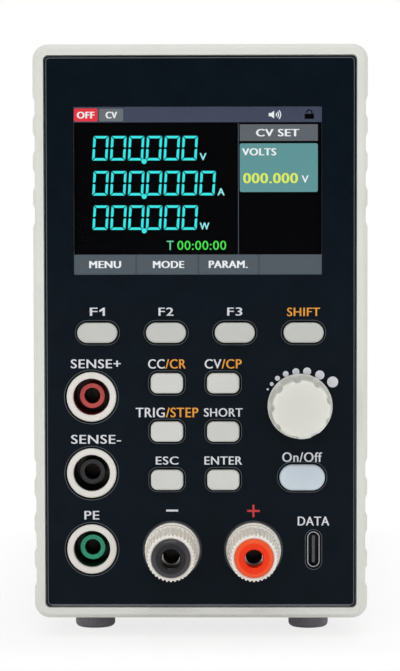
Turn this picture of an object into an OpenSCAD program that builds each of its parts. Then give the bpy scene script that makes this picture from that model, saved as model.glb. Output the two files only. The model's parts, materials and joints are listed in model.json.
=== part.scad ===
// A bench DC electronic load in a tall narrow case: colour display, eleven push keys, a fluted push-and-turn
// knob, three recessed sense and earth sockets, two screw-down binding posts and a data port on the front,
// a mains inlet, rocker switch and fan grille on the back.
// Millimetres. The front faces -Y, Z is up, and the rubber feet stand on Z = 0.

/* [Case] */
// Width across the front bezel
case_w = 82; // [81:0.5:90]
// Height of the case above its feet
case_h = 141; // [141:0.5:150]
// Depth from the front rim to the rear rim
case_d = 207.5; // [204:0.5:230]
// Corner radius of the bezel and of the rear frame
corner_r = 3.8; // [3:0.1:4.5]
// Width of the bevel round the outermost edges
edge_w = 0.95; // [0.7:0.05:1.1]
// Wall of the bezel and of the rear frame
frame_wall = 2.6; // [2.5:0.1:2.9]
// Depth of the front bezel
bezel_d = 30; // [28:0.5:34]
// Depth of the rear frame
rear_d = 24; // [20:0.5:28]
// Sheet thickness of the cover and of the chassis
sheet_t = 1.2; // [1:0.1:1.3]
// Step from the frames down to the cover
cover_step = 1.2; // [1:0.1:1.3]
// Reach of the cover into each frame
cover_lap = 4; // [3:0.5:5]

/* [Grip grooves] */
// Grooves in each group on the bezel's sides
groove_count = 4; // [3:1:4]
// Spacing of the grooves
groove_pitch = 8.8; // [7.5:0.1:9]
// Width of a groove at the surface
groove_w = 5.6; // [4.4:0.1:6]
// Width of a groove at its floor
groove_floor = 3.2; // [2:0.1:3.8]
// Depth of a groove
groove_depth = 0.5; // [0.3:0.05:0.7]
// Middle of the upper group, above the panel's middle
groove_high = 41.9; // [38:0.1:44]
// Middle of the lower group, below the panel's middle
groove_low = 46.9; // [43:0.1:47.5]

/* [Feet] */
// Height of the rubber feet
foot_h = 5; // [3.5:0.5:8]
// Diameter of a foot
foot_dia = 10; // [8:0.5:12]
// Distance between the left and right feet
foot_span = 54; // [44:1:58]
// Rounding at the foot's underside
foot_round = 1.1; // [0.8:0.1:2]

/* [Front panel] */
// Width of the bezel's rim around the panel
rim = 2.9; // [2.8:0.1:3.2]
// Thickness of the panel
panel_t = 1; // [0.8:0.1:1.2]
// Depth of the panel's face behind the rim
panel_recess = 0.4; // [0.3:0.1:0.6]
// Corner radius of the panel
panel_r = 1.2; // [0.6:0.1:1.5]
// Thickness of the bezel's front wall behind the panel
front_wall = 2.5; // [2:0.1:3]

/* [Display] */
// Width of the lit area
screen_w = 60.7; // [58:0.1:62]
// Height of the lit area
screen_h = 41; // [39:0.1:42]
// Lit area's middle, above the panel's middle
screen_up = 34.7; // [34:0.1:36]
// Lit area's middle, left of the panel's middle
screen_left = 0.6; // [0:0.1:1]
// Thickness of the display module
lcd_t = 3.4; // [2.8:0.1:3.8]

/* [Keys] */
// Width of a function key
fkey_w = 9.8; // [9:0.1:11]
// Height of a function key
fkey_h = 4.9; // [4.6:0.1:5.6]
// Spacing of the function keys
fkey_pitch = 16.85; // [15.5:0.05:17]
// Width of a mode key
mkey_w = 7.9; // [7.6:0.1:9]
// Height of a mode key
mkey_h = 4.9; // [4.6:0.1:5.6]
// Corner radius of a mode key
mkey_r = 1.6; // [1.2:0.1:2.2]
// Spacing of the two columns of mode keys
mkey_pitch_x = 13.8; // [13:0.05:14.5]
// Spacing of the three rows of mode keys
mkey_pitch_z = 11.9; // [11:0.1:12]
// Width of the load on-off key
load_key_w = 11.1; // [10:0.1:12]
// Height of the load on-off key
load_key_h = 6.3; // [5.6:0.1:7]
// Height of the keys' faces in front of the rim
key_proud = 1.3; // [0.9:0.1:1.6]
// Travel of a key
key_travel = 0.6; // [0.4:0.1:0.8]
// Gap round each key in the panel
key_gap = 0.5; // [0.4:0.05:0.6]

/* [Knob] */
// Diameter of the knob's foot
knob_dia = 15.9; // [14:0.1:16.5]
// Diameter of the knob's front face, inside its rounded edge
knob_face_dia = 12.2; // [11:0.1:12.4]
// Height of the knob
knob_h = 12; // [11:0.1:14]
// Flutes round the knob
knob_flutes = 9; // [7:1:11]
// Push travel of the knob
knob_travel = 0.5; // [0.3:0.1:0.6]
// Diameter of the encoder's shaft
shaft_dia = 6; // [6:0.1:6.4]

/* [Sense and earth sockets] */
// Diameter of the white collar
jack_dia = 12.2; // [11.6:0.1:12.6]
// Diameter of the collar's opening
jack_mouth = 9; // [8.6:0.1:9.2]
// Spacing of the three sockets
jack_pitch = 18.8; // [17:0.1:19]
// Diameter of the coloured pillar inside
pillar_dia = 6.1; // [5.9:0.1:6.4]
// Depth of the pillar's end behind the rim
pillar_recess = 4.5; // [4.2:0.1:5]
// Bore that takes the plug
socket_bore = 4; // [4:0.01:4.1]

/* [Binding posts] */
// Distance between the posts
post_pitch = 20; // [19.05:0.05:20.5]
// Diameter of the post's collar
post_dia = 13.5; // [13:0.1:14]
// Diameter of the nut at its band
nut_dia = 13.1; // [12.4:0.1:13.4]
// Diameter of the nut at its front end
nut_front_dia = 11.5; // [11:0.1:12]
// Ribs round the nut
nut_ribs = 36; // [24:1:44]
// Length of the nut
nut_len = 13.2; // [12:0.1:15]
// Diameter of the coloured tip
tip_dia = 9.5; // [9:0.1:9.8]
// Diameter of the hole in the tip
tip_bore = 4.4; // [4.3:0.1:5]
// Depth of the stud's end behind the tip's face
stud_sink = 6.5; // [5:0.1:7]
// Diameter of the threaded stud
stud_dia = 6; // [6:0.1:6.2]

/* [Data port] */
// Long side of the port's shell
port_l = 8.94; // [8.9:0.01:9]
// Short side of the port's shell
port_w = 3.16; // [3.1:0.01:3.2]

/* [Rear] */
// Thickness of the rear panel
rear_t = 1.5; // [1.2:0.1:2]
// Side of the fan
fan_size = 60; // [60:0.5:62]
// Thickness of the fan
fan_t = 25; // [20:0.5:26]
// Distance from the case's top down to the fan's middle
fan_drop = 42; // [37:0.5:43]
// Height of the inlet's middle above the case's underside
inlet_up = 22; // [20:0.5:24]
// Distance of the mains switch below the middle of the space between inlet and fan
switch_sink = 1.1; // [0:0.1:3]
// Tilt of the rocker to each side
rocker_tilt = 9; // [7:0.5:11]
// Vent slots in each column on the cover's sides
vent_rows = 14; // [8:1:16]
// Fins of the heatsink
fin_count = 11; // [8:1:13]

/* [Hidden] */
$fn = 48;
slack = 0.1;
fit = 0.15;
touch = 0.05;
over = 1;

panel_w = case_w - 2 * rim;
panel_h = case_h - 2 * rim;
mid_z = foot_h + case_h / 2;
panel_edge_gap = 0.25;
wall_front = -(panel_recess + panel_t);
wall_back = wall_front - front_wall;
in_w = case_w - 2 * frame_wall;
in_h = case_h - 2 * frame_wall;

collar_t = 2.3;
washer_t = 0.8;
collar_top = wall_front + collar_t;
washer_low = collar_top + touch;
nut_low = washer_low + washer_t + touch;
nut_top = nut_low + nut_len;
tip_top = nut_top + 1.1;
post_reach = tip_top;
stud_top = tip_top - stud_sink;
rear_recess = 1.2;
rocker_l = 16.4;
rocker_h = 10.2;
rocker_pivot = -0.6;
rocker_face = 2.4;
rocker_rise = rocker_l / 2 * tan(rocker_tilt);
rear_reach = rocker_pivot - rear_recess
    + (rocker_face + rocker_rise) * cos(rocker_tilt) + rocker_l / 2 * sin(rocker_tilt);
overall_d = case_d + post_reach + rear_reach;
front_y = -overall_d / 2 + post_reach;
rear_y = front_y + case_d;

fkey_z = 0;
mkey_x = -8.23;
mkey_z = -12.4;
load_key_in = 13.15;
load_key_x = panel_w / 2 - load_key_in;
load_key_z = -35.6;
knob_in = 13.7;
knob_x = panel_w / 2 - knob_in;
knob_z = -18;
jack_in = 11.3;
jack_x = -panel_w / 2 + jack_in;
jack_z = -15.8;
post_x = 2.98;
post_z = -53.6;
port_in = 10.35;
port_x = panel_w / 2 - port_in;
port_z = -53.5;
jack_places = [for (i = [0:2]) [jack_x, jack_z - i * jack_pitch]];
post_places = [[post_x - post_pitch / 2, post_z], [post_x + post_pitch / 2, post_z]];

KEYS = [
    ["key_f1", -1.5 * fkey_pitch, fkey_z, "f"],
    ["key_f2", -0.5 * fkey_pitch, fkey_z, "f"],
    ["key_f3", 0.5 * fkey_pitch, fkey_z, "f"],
    ["key_shift", 1.5 * fkey_pitch, fkey_z, "f"],
    ["key_cc", mkey_x, mkey_z, "m"],
    ["key_cv", mkey_x + mkey_pitch_x, mkey_z, "m"],
    ["key_trig", mkey_x, mkey_z - mkey_pitch_z, "m"],
    ["key_short", mkey_x + mkey_pitch_x, mkey_z - mkey_pitch_z, "m"],
    ["key_esc", mkey_x, mkey_z - 2 * mkey_pitch_z, "m"],
    ["key_enter", mkey_x + mkey_pitch_x, mkey_z - 2 * mkey_pitch_z, "m"],
    ["key_on_off", load_key_x, load_key_z, "o"]
];

board_d = 12;
board_t = 1.6;
switch_h = 5;
switch_body_h = 3.5;
switch_side = 6;
flange_t = 1;
flange_grow = 0.75;
key_flange_top = wall_back - slack;
stem_low = -board_d + switch_h + key_travel + slack;
board_half = in_w / 2 - 1;
board_top = in_h / 2 - 2.4;
board_shoulder = -7.4;
board_side = jack_x + 11;
board_step = load_key_z - 8.4;
board_tail = load_key_x - 3.6;
board_low = -in_h / 2 + 4;
boss_r = 2.2;
boss_hole_r = 1;
boss_places = [
    [-board_half + 3, board_top - 3],
    [board_half - 3, board_top - 3],
    [-board_half + 3, board_shoulder + 3],
    [board_half - 3, board_low + 3]
];
lcd_w = screen_w + 4.4;
lcd_h = screen_h + 6;
lcd_front = wall_front - slack;
lcd_back = lcd_front - lcd_t;
holder_wall = 2;

bushing_dia = shaft_dia + 1.6;
encoder_side = 12;
encoder_front = wall_back - 1.6;
rotor_t = 3;
rotor_dia = 9.6;
rotor_top = encoder_front - 0.9;
spigot_dia = shaft_dia - 1.4;
shaft_low = rotor_top - rotor_t + 0.6;
knob_gap = 0.9;
knob_low = -panel_recess + knob_gap;
knob_top = knob_low + knob_h;
shaft_top = knob_top - 2.6;
bushing_top = knob_low + 1.2;
flange_low_h = 1.6;
flute_r = 1.2;
flute_depth = 0.65;
flute_turn = 17.5;

barrel_r = jack_mouth / 2 + 0.7;
barrel_back = -15.5;
socket_front = -(pillar_recess + 2);
socket_back = barrel_back + 1.2;
contact_r = socket_bore / 2 + 0.55;
jack_hole_r = jack_dia / 2 + 0.55;
jack_nut_af = 13.2;
jack_nut_t = 2.5;
post_hole_r = post_dia / 2 + 0.2;
post_spigot_r = 4.8;
post_nut_af = 11;
post_nut_t = 3;
stud_back = -26;
stud_bore_low = stud_top - 12;
tip_low = stud_top - 1;
band_h = 2.6;

port_wall = 0.3;
port_gap = 0.4;
port_front = -0.9;

cover_w = case_w - 2 * cover_step;
cover_h = case_h - 2 * cover_step;
cover_r = corner_r - cover_step;
cover_d0 = bezel_d - cover_lap + touch;
cover_d1 = case_d - rear_d + cover_lap - touch;
rear_wall = 2.2;
screw_inset = 8;
rear_screw_l = 8;
rear_panel_back = -rear_recess;
rear_panel_front = -rear_recess - rear_t;
rear_wall_in = rear_panel_front - rear_wall;
rear_ledge = 4.5;
rear_w = case_w - 2 * rim;
rear_h = case_h - 2 * rim;
fan_up = case_h - fan_drop;
fan_z = foot_h + fan_up;
inlet_z = foot_h + inlet_up;
fan_d1 = case_d + rear_panel_front;
fan_d0 = fan_d1 - fan_t;
fan_bore_r = fan_size / 2 - 1.2;
fan_hole = fan_size / 2 - 5;
grille_step = (fan_bore_r - 6) / 5;
hub_r = 13;
rotor_r = fan_bore_r - 1;

foot_front_d = bezel_d - cover_lap - foot_dia / 2 - 1;
foot_rear_d = case_d - rear_d / 2 + cover_lap / 2 + 0.5;
peg_r = 2;

inlet_w = 27;
inlet_h = 19.6;
inlet_flange_w = 48;
inlet_flange_h = 22.4;
cavity_w = 24.2;
cavity_h = 16.4;
cavity_depth = 15.5;
cavity_cut = 4.5;
inlet_back = -22;
inlet_screw_x = 20;
inlet_flange_t = 2;
pin_tail = 7;
pin_recess = 4;
switch_up = (inlet_up + inlet_flange_h / 2 + fan_up - fan_size / 2) / 2 - switch_sink;
switch_z = foot_h + switch_up;
switch_w = 19;
switch_hh = 12.8;
switch_flange_w = 21;
switch_flange_h = 15;
switch_flange_t = 1.6;
switch_depth = 14;
rocker_pocket = 10;
tab_x = 5;
tab_t = 0.8;
tab_w = 4.8;
tab_l = 7;

board_x = -in_w / 2 + 9.4;
main_t = 1.6;
main_d0 = 64;
main_d1 = fan_d0 - 8;
main_z0 = foot_h + 14;
main_z1 = foot_h + case_h - 16;
stand_l = 6;
plate_x = board_x - stand_l;
sink_d0 = main_d0 + 6;
sink_d1 = fan_d0;
sink_x0 = board_x + main_t;
sink_x1 = fan_size / 2;
sink_below = 25;
sink_above = 29;
sink_z0 = fan_z - sink_below;
sink_z1 = fan_z + sink_above;
sink_base = 6;
fin_t = 1.6;
transistor_t = 5;
transistor_w = 16;
transistor_h = 21;
transistor_off = 8;
transistor_end = 12;
lead_pitch = 5.4;
lead_w = 1.2;
lead_t = 0.8;
lead_drop = 2.2;
transistor_places = [
    for (i = [0:3]) sink_d0 + transistor_end + i * (sink_d1 - sink_d0 - 2 * transistor_end) / 3
];
cap_r = 6;
cap_l = 24;
cap_step_d = 14;
cap_step_z = 16;
cap_end = 10;
cap_up = 12;
core_w = 26;
core_l = 36;
core_h = 30;
core_up = 8;
coil_w = 18;
coil_l = 44;
coil_h = 20;
core_gap = 1.9;
core_d = main_d0 + cap_end + cap_step_d + cap_r + core_gap + coil_l / 2;
stand_places = [
    for (d = [main_d0 + 5, main_d1 - 5])
        for (z = [main_z0 + 5, mid_z - 12, main_z1 - 5]) [d, z]
];

// Outward from the front rim: local Z points at the user, local Y is up
module at_front(x, z) {
    translate([x, front_y, mid_z + z]) rotate([90, 0, 0]) children();
}

// Outward from the rear rim: local Z points away from the back, local Y is up
module at_rear(x, z) {
    translate([x, rear_y, z]) rotate([90, 0, 180]) children();
}

// A block between two depths behind the front rim
module block(x0, x1, d0, d1, z0, z1) {
    translate([x0, front_y + d0, z0]) cube([x1 - x0, d1 - d0, z1 - z0]);
}

module slab(z0, z1) {
    translate([0, 0, z0]) linear_extrude(z1 - z0) children();
}

module ring(r_out, r_in, z0, z1) {
    difference() {
        translate([0, 0, z0]) cylinder(r = r_out, h = z1 - z0);
        translate([0, 0, z0 - over]) cylinder(r = r_in, h = z1 - z0 + 2 * over);
    }
}

module peg(r, z0, z1) {
    translate([0, 0, z0]) cylinder(r = r, h = z1 - z0);
}

module round_rect(w, h, r) {
    square([w - 2 * r, h], center = true);
    square([w, h - 2 * r], center = true);
    for (sx = [-1, 1]) for (sy = [-1, 1])
        translate([sx * (w / 2 - r), sy * (h / 2 - r)]) circle(r);
}

module stadium(w, h) {
    square([w - h, h], center = true);
    for (s = [-1, 1]) translate([s * (w - h) / 2, 0]) circle(h / 2);
}

module hexagon(across) {
    circle(across / sqrt(3), $fn = 6);
}

function arc(cx, cy, r, a0, a1, n = 6) =
    [for (i = [0:n]) [cx + r * cos(a0 + (a1 - a0) * i / n), cy + r * sin(a0 + (a1 - a0) * i / n)]];

// The side view of a soft-edged bar, rounded at its upper corners
module soft_bar(w, z0, z1, e) {
    polygon(concat(
        [[-w / 2, z0], [w / 2, z0]],
        arc(w / 2 - e, z1 - e, e, 0, 90),
        arc(-w / 2 + e, z1 - e, e, 90, 180)
    ));
}

// A block with round corners in plan whose front edge is rounded all the way round
module soft_block(w, h, r, e, z0, z1) {
    rotate([90, 0, 0]) linear_extrude(h - 2 * r, center = true) soft_bar(w, z0, z1, e);
    if (w > 2 * r + 0.01)
        rotate([90, 0, 90]) linear_extrude(w - 2 * r, center = true) soft_bar(h, z0, z1, e);
    for (i = [0:3])
        translate([(i == 0 || i == 3 ? 1 : -1) * (w / 2 - r), (i < 2 ? 1 : -1) * (h / 2 - r), 0])
            rotate([0, 0, i * 90])
                rotate_extrude(angle = 90)
                    polygon(concat([[0, z0], [r, z0]], arc(r - e, z1 - e, e, 0, 90), [[0, z1]]));
}

// An outer edge seen from the side: a flat bevel, deeper than wide, with its upper end eased
function bevel(x, z, e) =
    [[x, z - 1.4 * e], [x - 0.86 * e, z - 0.2 * e], [x - e, z - 0.06 * e], [x - 1.15 * e, z]];

module bevel_bar(w, z0, z1, e) {
    edge = bevel(w / 2, z1, e);
    polygon(concat(
        [[-w / 2, z0], [w / 2, z0]],
        edge,
        [for (i = [len(edge) - 1:-1:0]) [-edge[i][0], edge[i][1]]]
    ));
}

// A block with round corners in plan whose front edge is bevelled all the way round
module bevel_block(w, h, r, e, z0, z1) {
    rotate([90, 0, 0]) linear_extrude(h - 2 * r, center = true) bevel_bar(w, z0, z1, e);
    rotate([90, 0, 90]) linear_extrude(w - 2 * r, center = true) bevel_bar(h, z0, z1, e);
    for (i = [0:3])
        translate([(i == 0 || i == 3 ? 1 : -1) * (w / 2 - r), (i < 2 ? 1 : -1) * (h / 2 - r), 0])
            rotate([0, 0, i * 90])
                rotate_extrude(angle = 90)
                    polygon(concat([[0, z0], [r, z0]], bevel(r, z1, e), [[0, z1]]));
}

// A soft-edged bar with half-round ends
module soft_stadium(w, h, e, z0, z1) {
    r = h / 2;
    rotate([90, 0, 90]) linear_extrude(w - h, center = true) soft_bar(h, z0, z1, e);
    for (s = [0, 1])
        translate([(s == 0 ? 1 : -1) * (w - h) / 2, 0, 0])
            rotate([0, 0, -90 + s * 180])
                rotate_extrude(angle = 180)
                    polygon(concat([[0, z0], [r, z0]], arc(r - e, z1 - e, e, 0, 90), [[0, z1]]));
}

// Every cut-out shared by the panel and the bezel's front wall, at each feature's own place
module key_outlines(grow) {
    for (k = KEYS) translate([k[1], k[2]]) key_outline(k[3], grow);
}

module key_outline(style, grow) {
    if (style == "f") stadium(fkey_w + 2 * grow, fkey_h + 2 * grow);
    if (style == "o") stadium(load_key_w + 2 * grow, load_key_h + 2 * grow);
    if (style == "m") round_rect(mkey_w + 2 * grow, mkey_h + 2 * grow, mkey_r + grow);
}

module side_grooves() {
    for (i = [0:groove_count - 1])
        for (mid = [groove_high, -groove_low]) {
            z = mid + (i - (groove_count - 1) / 2) * groove_pitch;
            at_front(0, z) slab(-bezel_d - over, over) {
                polygon([
                    [case_w / 2 + over, groove_w / 2],
                    [case_w / 2, groove_w / 2],
                    [case_w / 2 - groove_depth, groove_floor / 2],
                    [case_w / 2 - groove_depth, -groove_floor / 2],
                    [case_w / 2, -groove_w / 2],
                    [case_w / 2 + over, -groove_w / 2]
                ]);
                polygon([
                    [-case_w / 2 - over, groove_w / 2],
                    [-case_w / 2, groove_w / 2],
                    [-case_w / 2 + groove_depth, groove_floor / 2],
                    [-case_w / 2 + groove_depth, -groove_floor / 2],
                    [-case_w / 2, -groove_w / 2],
                    [-case_w / 2 - over, -groove_w / 2]
                ]);
            }
        }
}

module front_bezel() {
    color([0.87, 0.87, 0.85]) {
        difference() {
            at_front(0, 0) bevel_block(case_w, case_h, corner_r, edge_w, -bezel_d, 0);
            at_front(0, 0) slab(wall_front, over)
                round_rect(panel_w + 2 * panel_edge_gap, panel_h + 2 * panel_edge_gap, panel_r);
            at_front(0, 0) slab(-bezel_d - over, wall_back) round_rect(in_w, in_h, 1.2);
            at_front(0, 0) slab(-bezel_d - over, -bezel_d + cover_lap)
                round_rect(cover_w + 2 * fit, cover_h + 2 * fit, cover_r);
            side_grooves();
            at_front(-screen_left, screen_up) slab(wall_back - over, wall_front + over)
                square([lcd_w + 2 * fit, lcd_h + 2 * fit], center = true);
            at_front(0, 0) slab(wall_back - over, wall_front + over) key_outlines(key_gap);
            at_front(knob_x, knob_z) peg(bushing_dia / 2 + slack, wall_back - over, wall_front + over);
            for (p = jack_places)
                at_front(p[0], p[1]) peg(barrel_r + slack, wall_back - over, wall_front + over);
            for (p = post_places)
                at_front(p[0], p[1]) peg(post_spigot_r + slack, wall_back - over, wall_front + over);
            at_front(port_x, port_z) rotate([0, 0, 90]) slab(wall_back - over, wall_front + over)
                stadium(port_l + 0.4, port_w + 0.4);
            for (s = [-1, 1]) translate([s * foot_span / 2, front_y + foot_front_d, foot_h - over])
                cylinder(r = peg_r + slack, h = frame_wall + 2 * over);
        }
        for (p = boss_places)
            at_front(p[0], p[1]) ring(boss_r, boss_hole_r, -board_d, wall_back + 0.4);
    }
}

module front_panel() {
    color([0.05, 0.08, 0.11]) difference() {
        at_front(0, 0) slab(wall_front, -panel_recess) round_rect(panel_w, panel_h, panel_r);
        at_front(-screen_left, screen_up) slab(wall_front - over, over)
            square([screen_w + 1, screen_h + 1], center = true);
        at_front(0, 0) slab(wall_front - over, over) key_outlines(key_gap);
        at_front(knob_x, knob_z) peg(bushing_dia / 2 + slack, wall_front - over, over);
        for (p = jack_places) at_front(p[0], p[1]) peg(jack_hole_r, wall_front - over, over);
        for (p = post_places) at_front(p[0], p[1]) peg(post_hole_r, wall_front - over, over);
        at_front(port_x, port_z) rotate([0, 0, 90]) slab(wall_front - over, over)
            stadium(port_l + 2 * port_gap, port_w + 2 * port_gap);
    }
}

module display_window() {
    color([0.1, 0.12, 0.16])
        at_front(-screen_left, screen_up) slab(wall_front, -panel_recess)
            square([screen_w + 1 - 2 * touch, screen_h + 1 - 2 * touch], center = true);
}

module lcd_module() {
    color([0.3, 0.32, 0.36])
        at_front(-screen_left, screen_up) difference() {
            slab(lcd_back, lcd_front) square([lcd_w, lcd_h], center = true);
            slab(lcd_front - 0.3, lcd_front + over) square([screen_w, screen_h], center = true);
        }
}

module lcd_holder() {
    color([0.92, 0.92, 0.9])
        at_front(-screen_left, screen_up) slab(-board_d, lcd_back) difference() {
            square([lcd_w - 1, lcd_h - 1], center = true);
            square([lcd_w - 1 - 2 * holder_wall, lcd_h - 1 - 2 * holder_wall], center = true);
        }
}

module front_board() {
    color([0.1, 0.35, 0.2]) difference() {
        at_front(0, 0) slab(-board_d - board_t, -board_d) polygon([
            [-board_half, board_top], [board_half, board_top], [board_half, board_low],
            [board_tail, board_low], [board_tail, board_step], [board_side, board_step],
            [board_side, board_shoulder], [-board_half, board_shoulder]
        ]);
        for (p = boss_places)
            at_front(p[0], p[1]) peg(boss_hole_r + 0.4, -board_d - board_t - over, -board_d + over);
    }
}

module tact_switches() {
    color([0.15, 0.15, 0.16])
        for (k = KEYS) at_front(k[1], k[2]) {
            slab(-board_d, -board_d + switch_body_h) square(switch_side, center = true);
            peg(1.7, -board_d + switch_body_h - 0.2, -board_d + switch_h);
        }
}

module key_cap(k) {
    tone = k[3] == "o" ? [0.74, 0.79, 0.84] : [0.79, 0.79, 0.78];
    color(tone) at_front(k[1], k[2]) {
        if (k[3] == "f") soft_stadium(fkey_w, fkey_h, 0.5, key_flange_top - 0.3, key_proud);
        if (k[3] == "o") soft_stadium(load_key_w, load_key_h, 0.6, key_flange_top - 0.3, key_proud);
        if (k[3] == "m") soft_block(mkey_w, mkey_h, mkey_r, 0.5, key_flange_top - 0.3, key_proud);
        slab(key_flange_top - flange_t, key_flange_top) key_outline(k[3], key_gap + flange_grow);
        peg(1.5, stem_low, key_flange_top - flange_t + 0.3);
    }
}

module encoder_body() {
    color([0.55, 0.56, 0.58]) at_front(knob_x, knob_z) difference() {
        union() {
            slab(-board_d, encoder_front) square(encoder_side, center = true);
            peg(bushing_dia / 2, encoder_front - 0.3, bushing_top);
        }
        peg(rotor_dia / 2 + slack, rotor_top - rotor_t - slack, rotor_top + slack);
        peg(shaft_dia / 2 + slack, rotor_top, bushing_top + over);
        peg(spigot_dia / 2 + 0.3, -board_d + 0.4, rotor_top);
    }
}

module encoder_rotor() {
    color([0.2, 0.2, 0.22]) at_front(knob_x, knob_z) slab(rotor_top - rotor_t, rotor_top) difference() {
        circle(rotor_dia / 2);
        intersection() {
            circle(spigot_dia / 2 + slack);
            translate([-spigot_dia, -spigot_dia]) square([2 * spigot_dia, 1.5 * spigot_dia - 0.5]);
        }
    }
}

module encoder_shaft() {
    color([0.75, 0.75, 0.76]) at_front(knob_x, knob_z) {
        peg(shaft_dia / 2, rotor_top + knob_travel + 0.3, shaft_top);
        slab(shaft_low, rotor_top + knob_travel + 0.6) intersection() {
            circle(spigot_dia / 2);
            translate([-spigot_dia, -spigot_dia]) square([2 * spigot_dia, 1.5 * spigot_dia - 0.5 - slack]);
        }
    }
}

// A round-edged cap on a thin foot, with narrow grooves that leave broad ribs between them
module control_knob() {
    r0 = knob_dia / 2;
    r1 = r0 - 0.25;
    r2 = r0 - 0.8;
    face_r = knob_face_dia / 2;
    edge_r = r2 - face_r;
    foot_top = knob_low + flange_low_h;
    lean = atan((r1 - r2) / (knob_top - edge_r - foot_top));
    color([0.85, 0.85, 0.82]) at_front(knob_x, knob_z) difference() {
        rotate_extrude() polygon(concat(
            [[0, knob_low], [r0, knob_low]],
            arc(r0 - 0.4, foot_top - 0.4, 0.4, 0, 90, 4),
            [[r1, foot_top + 0.15]],
            arc(face_r, knob_top - edge_r, edge_r, 0, 90, 8),
            [[0, knob_top]]
        ));
        for (i = [0:knob_flutes - 1])
            rotate([0, 0, flute_turn + i * 360 / knob_flutes])
                translate([r1 + flute_r - flute_depth, 0, foot_top + 0.5])
                    rotate([0, -lean, 0])
                        cylinder(r = flute_r, h = knob_h + 4);
        peg(shaft_dia / 2 + touch, knob_low - over, shaft_top);
        peg(bushing_dia / 2 + 0.3, knob_low - over, bushing_top + knob_travel + 0.4);
    }
}

module jack_insulator(i) {
    tone = [[0.78, 0.3, 0.3], [0.12, 0.12, 0.13], [0.15, 0.55, 0.4]][i];
    p = jack_places[i];
    color(tone) at_front(p[0], p[1]) difference() {
        union() {
            ring(barrel_r, jack_mouth / 2 - 0.1, barrel_back, wall_front);
            peg(jack_mouth / 2 + 0.2, barrel_back, barrel_back + 2);
            peg(pillar_dia / 2, barrel_back + 1, -pillar_recess);
        }
        peg(socket_bore / 2, barrel_back, -pillar_recess + over);
        peg(contact_r + touch, barrel_back - over, socket_front);
    }
}

module jack_collar(i) {
    p = jack_places[i];
    color([0.89, 0.89, 0.86]) at_front(p[0], p[1])
        rotate_extrude() polygon(concat(
            [[jack_mouth / 2, wall_front], [jack_dia / 2, wall_front]],
            arc(jack_dia / 2 - 0.4, -0.5, 0.4, 0, 90, 4),
            arc(jack_mouth / 2 + 0.3, -0.4, 0.3, 90, 180, 4)
        ));
}

module jack_contacts() {
    color([0.8, 0.68, 0.4])
        for (p = jack_places) at_front(p[0], p[1]) difference() {
            union() {
                peg(contact_r, barrel_back - 1, socket_front);
                peg(1.2, barrel_back - 6, barrel_back);
            }
            peg(socket_bore / 2, socket_back, socket_front + over);
        }
}

module terminal_nuts() {
    color([0.75, 0.75, 0.77]) {
        for (p = jack_places) at_front(p[0], p[1]) difference() {
            slab(wall_back - jack_nut_t, wall_back) hexagon(jack_nut_af);
            peg(barrel_r + slack, wall_back - jack_nut_t - over, wall_back + over);
        }
        for (p = post_places) at_front(p[0], p[1]) difference() {
            slab(wall_back - post_nut_t - 0.4, wall_back - 0.4) hexagon(post_nut_af);
            peg(stud_dia / 2 + slack, wall_back - post_nut_t - over, wall_back + over);
        }
    }
}

module post_collar(i) {
    p = post_places[i];
    color([0.86, 0.84, 0.78]) at_front(p[0], p[1]) difference() {
        union() {
            rotate_extrude() polygon(concat(
                [[0, wall_front], [post_dia / 2, wall_front]],
                arc(post_dia / 2 - 0.5, collar_top - 0.5, 0.5, 0, 90, 4),
                [[0, collar_top]]
            ));
            peg(post_spigot_r, wall_back - 0.4, wall_front + 0.2);
        }
        peg(stud_dia / 2 + slack, wall_back - over, collar_top + over);
    }
}

module post_stud(i) {
    p = post_places[i];
    color([0.82, 0.72, 0.45]) at_front(p[0], p[1]) difference() {
        peg(stud_dia / 2, stud_back, stud_top);
        peg(socket_bore / 2, stud_bore_low, stud_top + over);
    }
}

module post_washer(i) {
    p = post_places[i];
    color([0.72, 0.72, 0.72]) at_front(p[0], p[1])
        ring(nut_dia / 2 - 0.3, stud_dia / 2 + 0.15, washer_low, washer_low + washer_t);
}

// The ribs taper with the nut: a toothed prism cut by a cone that narrows towards the front
module post_nut(i) {
    p = post_places[i];
    r = nut_dia / 2;
    tooth = 0.3;
    ease = 0.15;
    color([0.88, 0.87, 0.82]) at_front(p[0], p[1]) difference() {
        union() {
            rotate_extrude() polygon([
                [0, nut_low], [r - 0.3, nut_low], [r, nut_low + 0.3], [r, nut_low + band_h],
                [r - 0.35, nut_low + band_h + 0.5], [0, nut_low + band_h + 0.5]
            ]);
            rotate_extrude() polygon([
                [0, nut_low + 1], [r - 0.65, nut_low + 1], [r - 0.5, nut_low + band_h],
                [nut_front_dia / 2 - tooth, nut_top - ease],
                [nut_front_dia / 2 - tooth - ease, nut_top], [0, nut_top]
            ]);
            intersection() {
                rotate_extrude() polygon([
                    [0, nut_low + 1], [r - 0.4, nut_low + 1], [r - 0.1, nut_low + band_h + 0.7],
                    [nut_front_dia / 2, nut_top - 2 * ease], [0, nut_top - 2 * ease]
                ]);
                slab(nut_low + 1, nut_top) nut_star(r);
            }
        }
        peg(stud_dia / 2 + 0.15, nut_low - over, nut_top + over);
        peg(tip_dia / 2 + touch, tip_low, nut_top + over);
    }
}

// Thin ribs radiating from the axis
module nut_star(r) {
    step = 360 / nut_ribs;
    polygon([
        for (i = [0:nut_ribs - 1])
            for (c = [[-0.26, 2], [-0.2, r + 1], [0.2, r + 1], [0.26, 2]])
                let (a = (i + c[0]) * step) [c[1] * cos(a), c[1] * sin(a)]
    ]);
}

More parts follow.
